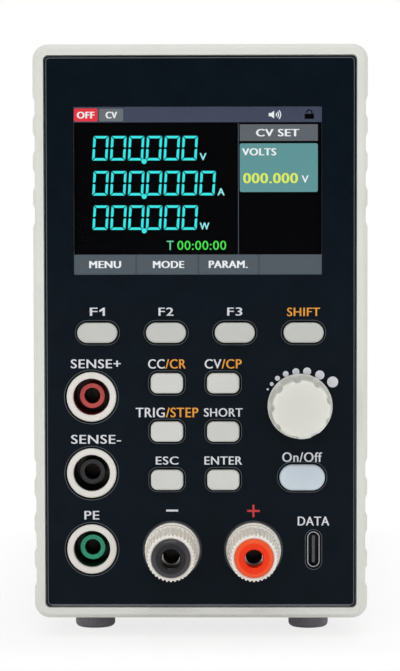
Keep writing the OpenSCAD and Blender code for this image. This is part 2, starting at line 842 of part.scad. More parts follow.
module post_tip(i) {
    tone = [[0.1, 0.1, 0.11], [0.93, 0.24, 0.05]][i];
    p = post_places[i];
    r = tip_dia / 2;
    color(tone) at_front(p[0], p[1])
        rotate_extrude() polygon(concat(
            [[stud_dia / 2 + 0.15, tip_low], [r, tip_low]],
            arc(r - 0.95, tip_top - 0.95, 0.95, 0, 90, 5),
            arc(tip_bore / 2 + 0.5, tip_top - 0.5, 0.5, 90, 180, 5),
            [[tip_bore / 2, stud_top + 0.4], [stud_dia / 2 + 0.15, stud_top + 0.4]]
        ));
}

module usb_shell() {
    color([0.72, 0.72, 0.74]) at_front(port_x, port_z) rotate([0, 0, 90]) difference() {
        slab(-board_d, port_front) stadium(port_l, port_w);
        slab(-board_d - over, port_front + over) stadium(port_l - 2 * port_wall, port_w - 2 * port_wall);
    }
}

module usb_tongue() {
    color([0.08, 0.08, 0.09]) at_front(port_x, port_z) rotate([0, 0, 90]) {
        slab(-board_d, -board_d + 4.5)
            stadium(port_l - 2 * port_wall - slack, port_w - 2 * port_wall - slack);
        slab(-board_d + 4, port_front - 0.7) square([6.69, 0.7], center = true);
    }
}

module top_cover() {
    color([0.8, 0.8, 0.78]) difference() {
        at_front(0, 0) slab(-cover_d1, -cover_d0) difference() {
            round_rect(cover_w, cover_h, cover_r);
            round_rect(cover_w - 2 * sheet_t, cover_h - 2 * sheet_t, cover_r - sheet_t);
            translate([0, -cover_h / 2]) square([cover_w + over, 2 * sheet_t + 1.6], center = true);
        }
        for (i = [0:vent_rows - 1])
            for (d = [bezel_d + 16, bezel_d + 46])
                translate([0, front_y + d, foot_h + 34 + i * 6]) rotate([90, 0, 90])
                    linear_extrude(case_w + 2 * over, center = true) stadium(24, 2.8);
        for (d = [bezel_d + screw_inset, case_d - rear_d - screw_inset])
            translate([0, front_y + d, foot_h + cover_step + screw_inset]) rotate([0, 90, 0])
                cylinder(r = 1.6, h = case_w + 2 * over, center = true);
    }
}

module base_chassis() {
    half = cover_w / 2 - sheet_t - touch;
    low = foot_h + cover_step;
    color([0.7, 0.71, 0.72]) difference() {
        union() {
            block(-half, half, cover_d0, cover_d1, low, low + sheet_t);
            block(half - sheet_t, half, bezel_d + 1, case_d - rear_d - 1, low, low + 14);
            block(-half, -half + sheet_t, bezel_d + 1, case_d - rear_d - 1, low, low + 14);
            block(-half, -half + sheet_t, main_d0 + 30, main_d1, low, main_z1);
            for (z = [main_z0 + 5, mid_z - 12, main_z1 - 5])
                block(-half, -half + sheet_t, main_d0, main_d0 + 32, z - 5, z + 5);
            for (p = stand_places) translate([-half + 1, front_y + p[0], p[1]]) rotate([0, 90, 0]) {
                cylinder(r = 3, h = board_x + half - 1, $fn = 6);
                cylinder(r = 1.5, h = board_x + half - 1 + main_t - slack);
            }
        }
        for (d = [bezel_d + screw_inset, case_d - rear_d - screw_inset])
            translate([0, front_y + d, low + screw_inset]) rotate([0, 90, 0])
                cylinder(r = 1.25, h = case_w, center = true);
    }
}

module case_screws() {
    color([0.6, 0.6, 0.62])
        for (s = [-1, 1]) for (d = [bezel_d + screw_inset, case_d - rear_d - screw_inset])
            translate([s * cover_w / 2, front_y + d, foot_h + cover_step + screw_inset])
                rotate([0, s * 90, 0]) difference() {
                    union() {
                        cylinder(r = 2.6, h = 1.1);
                        translate([0, 0, -5]) cylinder(r = 1.2, h = 5.4);
                    }
                    translate([0, 0, 0.5]) cube([3.2, 0.7, 1.4], center = true);
                    translate([0, 0, 0.5]) cube([0.7, 3.2, 1.4], center = true);
                }
}

module rear_frame() {
    color([0.85, 0.85, 0.83]) difference() {
        at_rear(0, mid_z) bevel_block(case_w, case_h, corner_r, edge_w, -rear_d, 0);
        at_rear(0, mid_z) slab(rear_panel_front, over)
            round_rect(rear_w + 2 * panel_edge_gap, rear_h + 2 * panel_edge_gap, panel_r);
        at_rear(0, mid_z) slab(rear_wall_in - over, over)
            square([rear_w - 2 * rear_ledge, rear_h - 2 * rear_ledge], center = true);
        at_rear(0, mid_z) slab(-rear_d - over, rear_wall_in) round_rect(in_w, in_h, 1.2);
        at_rear(0, mid_z) slab(-rear_d - over, -rear_d + cover_lap)
            round_rect(cover_w + 2 * fit, cover_h + 2 * fit, cover_r);
        for (s = [-1, 1]) translate([s * foot_span / 2, front_y + foot_rear_d, foot_h - over])
            cylinder(r = peg_r + slack, h = frame_wall + 2 * over);
        for (p = rear_screw_places()) at_rear(p[0], p[1]) peg(1.25, rear_wall_in - over, over);
    }
}

function rear_screw_places() = [
    for (sx = [-1, 1]) for (sz = [-1, 1]) [sx * (rear_w / 2 - 2.8), mid_z + sz * (rear_h / 2 - 2.8)]
];

module rear_panel() {
    color([0.82, 0.82, 0.8]) difference() {
        at_rear(0, mid_z) slab(rear_panel_front, rear_panel_back) round_rect(rear_w, rear_h, panel_r);
        at_rear(0, fan_z) slab(rear_panel_front - over, over) difference() {
            for (i = [0:4]) difference() {
                circle(6 + i * grille_step + grille_step - 1.3);
                circle(6 + i * grille_step);
            }
            for (a = [45, 135]) rotate(a) square([fan_size, 3], center = true);
        }
        for (sx = [-1, 1]) for (sz = [-1, 1])
            at_rear(sx * fan_hole, fan_z + sz * fan_hole) peg(1.9, rear_panel_front - over, over);
        for (p = rear_screw_places()) at_rear(p[0], p[1]) peg(1.5, rear_panel_front - over, over);
        for (s = [-1, 1]) at_rear(s * inlet_screw_x, inlet_z) peg(1.3, rear_panel_front - over, over);
        at_rear(0, inlet_z) slab(rear_panel_front - over, over)
            square([inlet_w + 2 * fit, inlet_h + 2 * fit], center = true);
        at_rear(0, switch_z) slab(rear_panel_front - over, over)
            square([switch_w + 2 * fit, switch_hh + 2 * fit], center = true);
    }
}

module rear_screws() {
    color([0.6, 0.6, 0.62]) {
        for (p = rear_screw_places()) at_rear(p[0], p[1]) screw(2.4, 1.2, rear_panel_back, rear_screw_l);
        for (sx = [-1, 1]) for (sz = [-1, 1])
            at_rear(sx * fan_hole, fan_z + sz * fan_hole) screw(3.2, 1.75, rear_panel_back, 12);
        for (s = [-1, 1]) at_rear(s * inlet_screw_x, inlet_z)
            screw(2.6, 1.2, rear_panel_back + inlet_flange_t, 9);
    }
}

module screw(head_r, shank_r, seat, length) {
    difference() {
        union() {
            peg(head_r, seat, seat + 1.1);
            peg(shank_r, seat - length, seat + 0.3);
        }
        translate([0, 0, seat + 1.1]) cube([head_r * 1.3, 0.7, 1.4], center = true);
        translate([0, 0, seat + 1.1]) cube([0.7, head_r * 1.3, 1.4], center = true);
    }
}

module cavity_outline() {
    polygon([
        [-cavity_w / 2, -cavity_h / 2], [cavity_w / 2, -cavity_h / 2],
        [cavity_w / 2, cavity_h / 2 - cavity_cut], [cavity_w / 2 - cavity_cut, cavity_h / 2],
        [-cavity_w / 2 + cavity_cut, cavity_h / 2], [-cavity_w / 2, cavity_h / 2 - cavity_cut]
    ]);
}

module pin_places(grow) {
    for (p = [[-7, -2], [7, -2], [0, 2]]) translate(p) square([2 + 2 * grow, 4 + 2 * grow], center = true);
}

module mains_inlet() {
    color([0.1, 0.1, 0.11]) at_rear(0, inlet_z) difference() {
        union() {
            slab(rear_panel_back, rear_panel_back + inlet_flange_t)
                round_rect(inlet_flange_w, inlet_flange_h, 4);
            slab(inlet_back, rear_panel_back + 0.3) square([inlet_w, inlet_h], center = true);
        }
        slab(rear_panel_back + inlet_flange_t - cavity_depth, rear_panel_back + inlet_flange_t + over)
            cavity_outline();
        slab(inlet_back - over, rear_panel_back) pin_places(touch);
        for (s = [-1, 1]) translate([s * inlet_screw_x, 0, 0])
            peg(1.5, rear_panel_back - over, rear_panel_back + inlet_flange_t + over);
    }
}

module inlet_pins() {
    color([0.8, 0.78, 0.7]) at_rear(0, inlet_z)
        slab(inlet_back - pin_tail, rear_panel_back + inlet_flange_t - pin_recess) pin_places(0);
}

module switch_body() {
    color([0.1, 0.1, 0.11]) at_rear(0, switch_z) difference() {
        union() {
            slab(rear_panel_back, rear_panel_back + switch_flange_t)
                round_rect(switch_flange_w, switch_flange_h, 1);
            slab(rear_panel_back - switch_depth, rear_panel_back + 0.3)
                square([switch_w, switch_hh], center = true);
            for (s = [-1, 1]) translate([s * tab_x, 0])
                slab(rear_panel_back - switch_depth - tab_l, rear_panel_back - switch_depth + over)
                    square([tab_t, tab_w], center = true);
        }
        slab(rear_panel_back - rocker_pocket, rear_panel_back + switch_flange_t + over)
            square([rocker_l + 1.2, rocker_h + 0.6], center = true);
        translate([0, 0, rear_panel_back + rocker_pivot]) rotate([90, 0, 0])
            cylinder(r = 1.3, h = rocker_h + 1.6, center = true);
    }
}

module switch_rocker() {
    l = rocker_l / 2;
    top = rocker_face + rocker_rise;
    color([0.14, 0.14, 0.15]) at_rear(0, switch_z)
        translate([0, 0, rear_panel_back + rocker_pivot]) rotate([90, rocker_tilt, 0]) {
            linear_extrude(rocker_h, center = true) polygon([
                [-l, top], [0, rocker_face], [l, top], [l, -0.6], [l - 4, -5], [-l + 4, -5], [-l, -0.6]
            ]);
            cylinder(r = 1.2, h = rocker_h + 1.4, center = true);
        }
}

module fan_frame() {
    half = fan_size / 2;
    color([0.12, 0.12, 0.13]) at_rear(0, fan_z) {
        difference() {
            slab(rear_panel_front - fan_t, rear_panel_front) round_rect(fan_size, fan_size, 3);
            peg(fan_bore_r, rear_panel_front - fan_t - over, over);
            for (sx = [-1, 1]) for (sy = [-1, 1])
                translate([sx * fan_hole, sy * fan_hole, 0]) peg(1.85, rear_panel_front - fan_t - over, over);
        }
        peg(12, rear_panel_front - fan_t, rear_panel_front - fan_t + 3);
        for (a = [0, 90, 180, 270]) rotate(a) slab(rear_panel_front - fan_t, rear_panel_front - fan_t + 3)
            translate([11, -1.5]) square([fan_bore_r - 10.5, 3]);
        peg(2, rear_panel_front - fan_t + 2, rear_panel_front - 6);
    }
}

module fan_rotor() {
    z0 = rear_panel_front - fan_t + 4;
    z1 = rear_panel_front - 1.5;
    color([0.16, 0.16, 0.17]) at_rear(0, fan_z) {
        difference() {
            peg(hub_r, z0, z1);
            peg(2.2, z0 - over, z1 - 3);
        }
        for (i = [0:6]) rotate(i * 360 / 7)
            intersection() {
                translate([hub_r - 1.5, 0, (z0 + z1) / 2]) rotate([38, 0, 0])
                    translate([0, -11, -0.7]) cube([rotor_r - hub_r + 1.2, 22, 1.4]);
                peg(rotor_r, z0 + 0.4, z1 - 0.4);
            }
    }
}

module heatsink() {
    gap = (sink_x1 - sink_x0 - fin_t) / (fin_count - 1);
    color([0.62, 0.63, 0.65]) {
        block(sink_x0, sink_x1, sink_d0, sink_d1, sink_z0, sink_z0 + sink_base);
        for (i = [0:fin_count - 1])
            block(sink_x0 + i * gap, sink_x0 + i * gap + fin_t,
                sink_d0, sink_d1, sink_z0 + sink_base - 0.5, sink_z1);
    }
}

module power_transistors() {
    color([0.1, 0.1, 0.1])
        for (d = transistor_places) {
            block(sink_x0 + transistor_off, sink_x0 + transistor_off + transistor_h,
                d - transistor_w / 2, d + transistor_w / 2, sink_z0 - transistor_t, sink_z0);
            for (i = [-1, 0, 1])
                block(sink_x0, sink_x0 + transistor_off + lead_t,
                    d + i * lead_pitch - lead_w / 2, d + i * lead_pitch + lead_w / 2,
                    sink_z0 - lead_drop - lead_t, sink_z0 - lead_drop);
        }
}

module power_board() {
    color([0.1, 0.32, 0.18]) difference() {
        block(board_x, board_x + main_t, main_d0, main_d1, main_z0, main_z1);
        for (p = stand_places) translate([board_x - over, front_y + p[0], p[1]]) rotate([0, 90, 0])
            cylinder(r = 1.6, h = main_t + 2 * over);
    }
}

module aux_transformer() {
    z = main_z0 + core_up + core_h / 2;
    color([0.75, 0.65, 0.3]) {
        block(sink_x0, sink_x0 + core_w,
            core_d - core_l / 2, core_d + core_l / 2, z - core_h / 2, z + core_h / 2);
        block(sink_x0 + (core_w - coil_w) / 2, sink_x0 + (core_w + coil_w) / 2,
            core_d - coil_l / 2, core_d + coil_l / 2, z - coil_h / 2, z + coil_h / 2);
    }
}

module capacitors() {
    color([0.2, 0.25, 0.45])
        for (i = [0, 1]) for (j = [0, 1])
            translate([sink_x0, front_y + main_d0 + cap_end + i * cap_step_d,
                main_z0 + cap_up + j * cap_step_z])
                rotate([0, 90, 0]) cylinder(r = cap_r, h = cap_l);
}

module rubber_feet() {
    r = foot_dia / 2;
    color([0.28, 0.28, 0.3])
        for (s = [-1, 1]) for (d = [foot_front_d, foot_rear_d])
            translate([s * foot_span / 2, front_y + d, 0]) {
                rotate_extrude() polygon(concat(
                    [[0, 0]],
                    arc(r - foot_round, foot_round, foot_round, -90, 0, 5),
                    [[r, foot_h], [0, foot_h]]
                ));
                translate([0, 0, foot_h - 0.5]) cylinder(r = peg_r, h = frame_wall + 0.5);
            }
}

front_bezel();
front_panel();
display_window();
lcd_module();
lcd_holder();
front_board();
tact_switches();
for (k = KEYS) key_cap(k);
encoder_body();
encoder_rotor();
encoder_shaft();
control_knob();
jack_insulator(0);  // sense_plus_jack
jack_insulator(1);  // sense_minus_jack
jack_insulator(2);  // earth_jack
jack_collar(0);  // sense_plus_collar
jack_collar(1);  // sense_minus_collar
jack_collar(2);  // earth_collar
jack_contacts();
terminal_nuts();
post_collar(0);  // negative_collar
post_stud(0);  // negative_stud
post_washer(0);  // negative_washer
post_nut(0);  // negative_nut
post_tip(0);  // negative_tip
post_collar(1);  // positive_collar
post_stud(1);  // positive_stud
post_washer(1);  // positive_washer
post_nut(1);  // positive_nut
post_tip(1);  // positive_tip
usb_shell();
usb_tongue();
top_cover();
base_chassis();
case_screws();
rear_frame();
rear_panel();
rear_screws();
mains_inlet();
inlet_pins();
switch_body();
switch_rocker();
fan_frame();
fan_rotor();
heatsink();
power_transistors();
power_board();
aux_transformer();
capacitors();
rubber_feet();
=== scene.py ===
# A bench DC electronic load, dressed: printed legends, a lit display, finishes and a plain studio.
# Metres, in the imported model's own frame: the front faces -Y, Z is up and the feet stand on Z = 0.
# Sizes on the front are named in millimetres and turned into metres by MM.

import json
import math

import bmesh
import bpy
from mathutils import Matrix, Vector


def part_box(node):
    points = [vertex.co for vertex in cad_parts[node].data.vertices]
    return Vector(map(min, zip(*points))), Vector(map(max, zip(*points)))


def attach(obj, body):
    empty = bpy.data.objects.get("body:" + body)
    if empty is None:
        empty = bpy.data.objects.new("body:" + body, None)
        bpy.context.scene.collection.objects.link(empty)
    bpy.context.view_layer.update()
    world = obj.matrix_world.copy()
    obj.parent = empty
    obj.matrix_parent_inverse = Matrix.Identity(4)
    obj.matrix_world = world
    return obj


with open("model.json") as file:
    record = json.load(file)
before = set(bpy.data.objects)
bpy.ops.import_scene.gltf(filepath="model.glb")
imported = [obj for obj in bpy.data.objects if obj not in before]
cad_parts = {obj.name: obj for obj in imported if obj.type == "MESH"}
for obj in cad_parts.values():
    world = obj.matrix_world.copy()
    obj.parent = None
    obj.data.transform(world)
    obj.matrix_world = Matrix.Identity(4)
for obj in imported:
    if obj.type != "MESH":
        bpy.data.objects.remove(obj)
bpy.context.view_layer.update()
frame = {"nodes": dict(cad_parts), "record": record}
NODES = frame["nodes"]

MM = 0.001
BEZEL_LOW, BEZEL_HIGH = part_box("front_bezel")
RIM_Y = BEZEL_LOW.y
PANEL_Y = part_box("front_panel")[0].y
MID_Z = (BEZEL_LOW.z + BEZEL_HIGH.z) / 2


# Colours


def linear(value):
    """A display value from 0 to 255 as linear light."""
    v = value / 255
    return v / 12.92 if v <= 0.04045 else ((v + 0.055) / 1.055) ** 2.4


def srgb(r, g, b):
    return (linear(r), linear(g), linear(b), 1.0)


def shade(colour, factor):
    return tuple(min(1.0, c * factor) for c in colour[:3]) + (1.0,)


# Node arithmetic that materials, floor and world share


def map_range(nodes, links, value, start, end, low=0.0, high=1.0, smooth=False):
    """A number between start and end spread between low and high."""
    spread = nodes.new("ShaderNodeMapRange")
    if smooth:
        spread.interpolation_type = "SMOOTHSTEP"
    spread.inputs["From Min"].default_value = start
    spread.inputs["From Max"].default_value = end
    spread.inputs["To Min"].default_value = low
    spread.inputs["To Max"].default_value = high
    links.new(value, spread.inputs["Value"])
    return spread.outputs["Result"]


def vector_chain(nodes, links, vector, steps):
    """A vector passed through steps of vector arithmetic, each an operation and its second operand."""
    for operation, operand in steps:
        step = nodes.new("ShaderNodeVectorMath")
        step.operation = operation
        links.new(vector, step.inputs[0])
        if operand is not None:
            step.inputs[1].default_value = operand
        vector = step.outputs["Value" if operation == "LENGTH" else "Vector"]
    return vector


def any_ray(nodes, links, kinds):
    """1 for a ray of any of the named kinds, otherwise 0."""
    path = nodes.new("ShaderNodeLightPath")
    found = path.outputs[kinds[0]]
    for kind in kinds[1:]:
        either = nodes.new("ShaderNodeMath")
        either.operation = "MAXIMUM"
        links.new(found, either.inputs[0])
        links.new(path.outputs[kind], either.inputs[1])
        found = either.outputs["Value"]
    return found


def mix_shaders(nodes, links, factor, first, second):
    mix = nodes.new("ShaderNodeMixShader")
    links.new(factor, mix.inputs["Fac"])
    links.new(first, mix.inputs[1])
    links.new(second, mix.inputs[2])
    return mix.outputs["Shader"]


# Materials: small builders that hang texture nodes on one Principled shader
NOISE_LOW, NOISE_HIGH = 0.3, 0.7
MOTTLE_DETAIL, GLOSS_DETAIL, GRAIN_DETAIL = 4.0, 3.0, 2.0
SOFT_SHARE = 0.5
# width over which the painted shade and painted highlights blend in
PAINTED_LIGHT_BLEND = 0.3
TRACK_PITCH = 9
PIXEL = 0.19


class Finish:
    """One material with its shader, and short ways to add texture to it."""

    def __init__(self, name, colour, roughness, metallic=0.0):
        self.name = name
        self.material = bpy.data.materials.new(name)
        self.material.use_nodes = True
        self.material.diffuse_color = colour
        self.nodes = self.material.node_tree.nodes
        self.links = self.material.node_tree.links
        self.shader = self.nodes["Principled BSDF"]
        self.set("Base Color", colour)
        self.set("Roughness", roughness)
        self.set("Metallic", metallic)
        self.colour = colour
        self.coordinates = self.nodes.new("ShaderNodeTexCoord").outputs["Object"]
        self.height = None

    def set(self, socket, value):
        self.shader.inputs[socket].default_value = value
        return self

    def specular(self, level):
        return self.set("Specular IOR Level", level)

    def mapped(self, socket, value):
        """Object coordinates after one mapping: a squeeze along each axis, or a turn."""
        mapping = self.nodes.new("ShaderNodeMapping")
        mapping.inputs[socket].default_value = value
        self.links.new(self.coordinates, mapping.inputs["Vector"])
        return mapping.outputs["Vector"]

    def noise(self, size_mm, detail, stretch=None):
        texture = self.nodes.new("ShaderNodeTexNoise")
        texture.inputs["Scale"].default_value = 1 / (size_mm * MM)
        texture.inputs["Detail"].default_value = detail
        vector = self.mapped("Scale", stretch) if stretch else self.coordinates
        self.links.new(vector, texture.inputs["Vector"])
        return texture.outputs["Fac"]

    def cells(self, size_mm):
        texture = self.nodes.new("ShaderNodeTexVoronoi")
        texture.inputs["Scale"].default_value = 1 / (size_mm * MM)
        self.links.new(self.coordinates, texture.inputs["Vector"])
        return texture.outputs["Distance"]

    def bricks(self, vector, settings):
        """A brick pattern over a vector, with values for its named sockets."""
        pattern = self.nodes.new("ShaderNodeTexBrick")
        for socket, value in settings.items():
            pattern.inputs[socket].default_value = value
        self.links.new(vector, pattern.inputs["Vector"])
        return pattern

    def ramp(self, noise, low, high):
        """The middle of a noise's range spread between two values."""
        return map_range(self.nodes, self.links, noise, NOISE_LOW, NOISE_HIGH, low, high)

    def mix_base(self, factor, second, first=None):
        """The base colour mixed with a second one, from a first one or from what it was before."""
        mix = self.nodes.new("ShaderNodeMix")
        mix.data_type = "RGBA"
        mix.inputs["B"].default_value = second
        base = self.shader.inputs["Base Color"]
        if first:
            mix.inputs["A"].default_value = first
        else:
            self.links.new(base.links[0].from_socket, mix.inputs["A"])
        self.links.new(factor, mix.inputs["Factor"])
        self.links.new(mix.outputs["Result"], base)
        return self

    def mottle(self, size_mm, amount, stretch=None):
        """Colour that drifts a little lighter and darker over the surface."""
        drift = self.ramp(self.noise(size_mm, MOTTLE_DETAIL, stretch), 0.0, 1.0)
        return self.mix_base(drift, shade(self.colour, 1 + amount), shade(self.colour, 1 - amount))

    def uneven_gloss(self, size_mm, low, high, stretch=None):
        """Roughness that drifts between two values."""
        drift = self.ramp(self.noise(size_mm, GLOSS_DETAIL, stretch), low, high)
        self.links.new(drift, self.shader.inputs["Roughness"])
        return self

    def soften(self, depth_mm):
        """Light that spreads a little under the surface, as in pale translucent plastic."""
        self.set("Subsurface Weight", SOFT_SHARE).set("Subsurface Radius", (1, 1, 1))
        return self.set("Subsurface Scale", depth_mm * MM)

    def paint_light_beyond(self, node, radius_mm, painted_colour):
        """Painted shade or highlight: another colour beyond a radius from a node's middle axis, which
        runs along Y.
        """
        low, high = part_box(node)
        middle = NODES[node].matrix_world.inverted() @ ((low + high) / 2)
        steps = (("SUBTRACT", middle), ("MULTIPLY", (1, 0, 1)), ("LENGTH", None))
        radius = vector_chain(self.nodes, self.links, self.coordinates, steps)
        start, end = radius_mm * MM, (radius_mm + PAINTED_LIGHT_BLEND) * MM
        return self.mix_base(map_range(self.nodes, self.links, radius, start, end), painted_colour)

    def relief(self, height, depth_mm, strength=1.0):
        """Fine relief; a second call adds to the first."""
        bump = self.nodes.new("ShaderNodeBump")
        bump.inputs["Distance"].default_value = depth_mm * MM
        bump.inputs["Strength"].default_value = strength
        self.links.new(height, bump.inputs["Height"])
        if self.height:
            self.links.new(self.height, bump.inputs["Normal"])
        self.height = bump.outputs["Normal"]
        self.links.new(self.height, self.shader.inputs["Normal"])
        return self

    def grain(self, size_mm, depth_mm, stretch=None):
        """Relief from fine noise."""
        return self.relief(self.noise(size_mm, GRAIN_DETAIL, stretch), depth_mm)


def textured_plastic(name, colour, roughness=0.5, grain_mm=0.35, depth_mm=0.02):
    """Moulded plastic from a spark-eroded tool: fine even grain, matte."""
    finish = Finish(name, colour, roughness)
    finish.mottle(size_mm=14, amount=0.025)
    finish.uneven_gloss(size_mm=2.5, low=roughness - 0.06, high=roughness + 0.06)
    return finish.grain(grain_mm, depth_mm)


def smooth_plastic(name, colour, roughness=0.3, tone=0.04):
    """Polished moulding: faint flow marks and a slightly uneven gloss."""
    finish = Finish(name, colour, roughness)
    finish.mottle(size_mm=6, amount=tone)
    finish.uneven_gloss(size_mm=1.8, low=max(0.04, roughness - 0.05), high=roughness + 0.07)
    return finish.grain(size_mm=1.6, depth_mm=0.01)


def brushed_metal(name, colour, roughness, stretch):
    """Metal with fine lines along the axis that is squeezed most."""
    finish = Finish(name, colour, roughness, metallic=1.0)
    finish.mottle(size_mm=3, amount=0.06, stretch=stretch)
    finish.uneven_gloss(size_mm=0.5, low=roughness - 0.08, high=roughness + 0.1, stretch=stretch)
    return finish.grain(size_mm=0.25, depth_mm=0.006, stretch=stretch)


def plated_metal(name, colour, roughness):
    """Bright plating: a soft, slightly uneven shine."""
    finish = Finish(name, colour, roughness, metallic=1.0)
    finish.mottle(size_mm=2.5, amount=0.05)
    finish.uneven_gloss(size_mm=0.8, low=roughness - 0.06, high=roughness + 0.1)
    return finish.grain(size_mm=0.5, depth_mm=0.006)


def powder_coat(name, colour, roughness=0.48):
    """Baked powder paint: soft orange-peel cells under a fine grain."""
    finish = Finish(name, colour, roughness)
    finish.mottle(size_mm=20, amount=0.02)
    finish.uneven_gloss(size_mm=3, low=roughness - 0.05, high=roughness + 0.07)
    finish.relief(finish.cells(size_mm=0.8), depth_mm=0.03, strength=0.6)
    return finish.grain(size_mm=0.25, depth_mm=0.012)


def rubber(name, colour):
    """Dull moulded rubber."""
    finish = Finish(name, colour, roughness=0.78)
    finish.mottle(size_mm=3, amount=0.12).uneven_gloss(size_mm=1.2, low=0.7, high=0.88)
    return finish.relief(finish.noise(size_mm=0.3, detail=3.0), depth_mm=0.03)


def circuit_board(name, colour):
    """Green solder mask over copper: the tracks stand slightly proud and paler."""
    finish = Finish(name, colour, roughness=0.35)
    tracks = finish.bricks(finish.coordinates, {
        "Scale": 1 / (TRACK_PITCH * MM), "Mortar Size": 0.03,
        "Color1": shade(colour, 0.85), "Color2": colour, "Mortar": shade(colour, 1.5)})
    finish.links.new(tracks.outputs["Color"], finish.shader.inputs["Base Color"])
    finish.relief(tracks.outputs["Fac"], depth_mm=0.03)
    return finish.uneven_gloss(size_mm=2, low=0.28, high=0.45)


def printed_ink(name, colour):
    """Screen-printed ink: flat, a little broken up where the mesh held it."""
    finish = Finish(name, colour, roughness=0.42)
    return finish.mottle(size_mm=0.9, amount=0.05).grain(size_mm=0.18, depth_mm=0.006)


def lit_pixels(name, colour, glow):
    """Light from the display, with the faint grid of its pixels."""
    finish = Finish(name, (0.004, 0.004, 0.004, 1.0), roughness=0.25)
    facing_front = finish.mapped("Rotation", (math.pi / 2, 0, 0))
    grid = finish.bricks(facing_front, {
        "Scale": 1 / (PIXEL * MM), "Brick Width": 1.0, "Row Height": 1.0,
        "Mortar Size": 0.06, "Mortar Smooth": 0.3,
        "Color1": colour, "Color2": colour, "Mortar": shade(colour, 0.7)})
    grid.offset = 0.0
    finish.links.new(grid.outputs["Color"], finish.shader.inputs["Emission Color"])
    return finish.set("Emission Strength", glow)


def clear_window(name):
    """Thin smoked cover with an anti-glare coat: little reflection, nearly all light passes."""
    finish = Finish(name, srgb(14, 18, 24), roughness=0.1)
    finish.set("Alpha", 0.04).specular(0.25).mottle(size_mm=8, amount=0.1)
    return finish.uneven_gloss(size_mm=6, low=0.05, high=0.14)


ALONG_X = (0.06, 1.0, 1.0)
ALONG_Y = (1.0, 0.06, 1.0)

# One finish for each material slot of the record: slot, colour, roughness and what its builder adds
FINISHES = {finish.name: finish for finish in (
    textured_plastic("case_plastic", srgb(218, 218, 212), 0.52),
    smooth_plastic("panel_black", srgb(10, 19, 27), 0.14, 0.12).specular(0.06),
    clear_window("window_dark"),
    brushed_metal("lcd_metal", srgb(150, 153, 158), 0.35, ALONG_X),
    textured_plastic("holder_white", srgb(222, 222, 218), 0.55),
    circuit_board("board_green", srgb(24, 96, 58)),
    textured_plastic("switch_black", srgb(36, 36, 38), 0.5),
    smooth_plastic("key_grey", srgb(194, 195, 191), 0.42, 0.02),
    # partly painted light: the on/off key's own blue-grey, set paler to make up for the knob's shadow on
    # it
    smooth_plastic("key_blue_grey", srgb(202, 213, 222), 0.42, 0.02),
    plated_metal("encoder_metal", srgb(170, 171, 174), 0.3),
    smooth_plastic("rotor_black", srgb(40, 40, 42), 0.4),
    plated_metal("shaft_steel", srgb(196, 196, 198), 0.24),
    textured_plastic("knob_cream", srgb(218, 218, 211), 0.45, 0.3, 0.012).soften(4),
    # partly painted light: the red and green are their own colours, set brighter to make up for the shade
    # inside the socket mouths
    smooth_plastic("insulator_red", srgb(242, 95, 90), 0.36, 0.05),
    smooth_plastic("insulator_black", srgb(34, 36, 42), 0.3, 0.08),
    smooth_plastic("insulator_green", srgb(44, 194, 146), 0.36, 0.05),
    smooth_plastic("collar_white", srgb(222, 219, 212), 0.34, 0.02),
    # painted shade: contact nickel made far darker than bare plating, so that the socket bores look dark
    plated_metal("contact_nickel", srgb(58, 54, 50), 0.4),
    plated_metal("nut_steel", srgb(186, 186, 190), 0.28),
    textured_plastic("post_cream", srgb(248, 242, 232), 0.42, 0.3, 0.012).soften(1.5),
    # painted shade: stud nickel made far darker than bare plating, so that the posts' bores look dark
    plated_metal("stud_nickel", srgb(84, 80, 76), 0.34),
    plated_metal("washer_steel", srgb(190, 190, 192), 0.25),
    smooth_plastic("tip_black", srgb(13, 12, 16), 0.14, 0.06).specular(0.36),
    smooth_plastic("tip_red", srgb(238, 50, 1), 0.14, 0.05).specular(0.22),
    brushed_metal("port_steel", srgb(168, 169, 173), 0.3, ALONG_Y),
    textured_plastic("port_black", srgb(84, 84, 88), 0.5),
    powder_coat("cover_paint", srgb(216, 216, 210)),
    powder_coat("rear_paint", srgb(212, 212, 206)),
    brushed_metal("chassis_steel", srgb(188, 189, 192), 0.34, ALONG_Y),
    plated_metal("screw_steel", srgb(176, 176, 180), 0.28),
    textured_plastic("inlet_black", srgb(32, 32, 34), 0.45),
    plated_metal("pin_brass", srgb(208, 198, 160), 0.24),
    smooth_plastic("rocker_black", srgb(30, 30, 33), 0.3),
    textured_plastic("fan_black", srgb(34, 34, 37), 0.48, 0.5, 0.02),
    brushed_metal("heatsink_alloy", srgb(190, 192, 196), 0.38, ALONG_Y),
    textured_plastic("transistor_black", srgb(30, 30, 31), 0.5),
    textured_plastic("transformer_yellow", srgb(206, 176, 80), 0.4),
    smooth_plastic("capacitor_blue", srgb(56, 66, 128), 0.32),
    # painted light: the dark rubber is made paler to make up for the shade under the case
    rubber("foot_rubber", srgb(122, 119, 125)),
)}

MODE_KEYS = ("key_cc", "key_cv", "key_trig", "key_short", "key_esc", "key_enter")
SOCKET_COLLARS = ("sense_plus_collar", "sense_minus_collar", "earth_collar")

# Painted light away from a node's axis: painted shade deep in each socket beyond its pillar, and a
# painted highlight on each tip's rounded edge. Each: slot, node, radius, painted colour.
PILLAR_R = 3.2
TIP_EDGE_R = 3.55
PAINTED_SHADE_AND_HIGHLIGHT = [
    # painted shade on the socket walls beyond each pillar
    ("insulator_red", "sense_plus_jack", PILLAR_R, srgb(98, 14, 18)),
    ("insulator_black", "sense_minus_jack", PILLAR_R, srgb(12, 13, 16)),
    ("insulator_green", "earth_jack", PILLAR_R, srgb(6, 50, 38)),
    # painted highlight on each tip's rounded outer edge
    ("tip_black", "negative_tip", TIP_EDGE_R, srgb(58, 57, 62)),
    ("tip_red", "positive_tip", TIP_EDGE_R, srgb(240, 86, 40)),
]


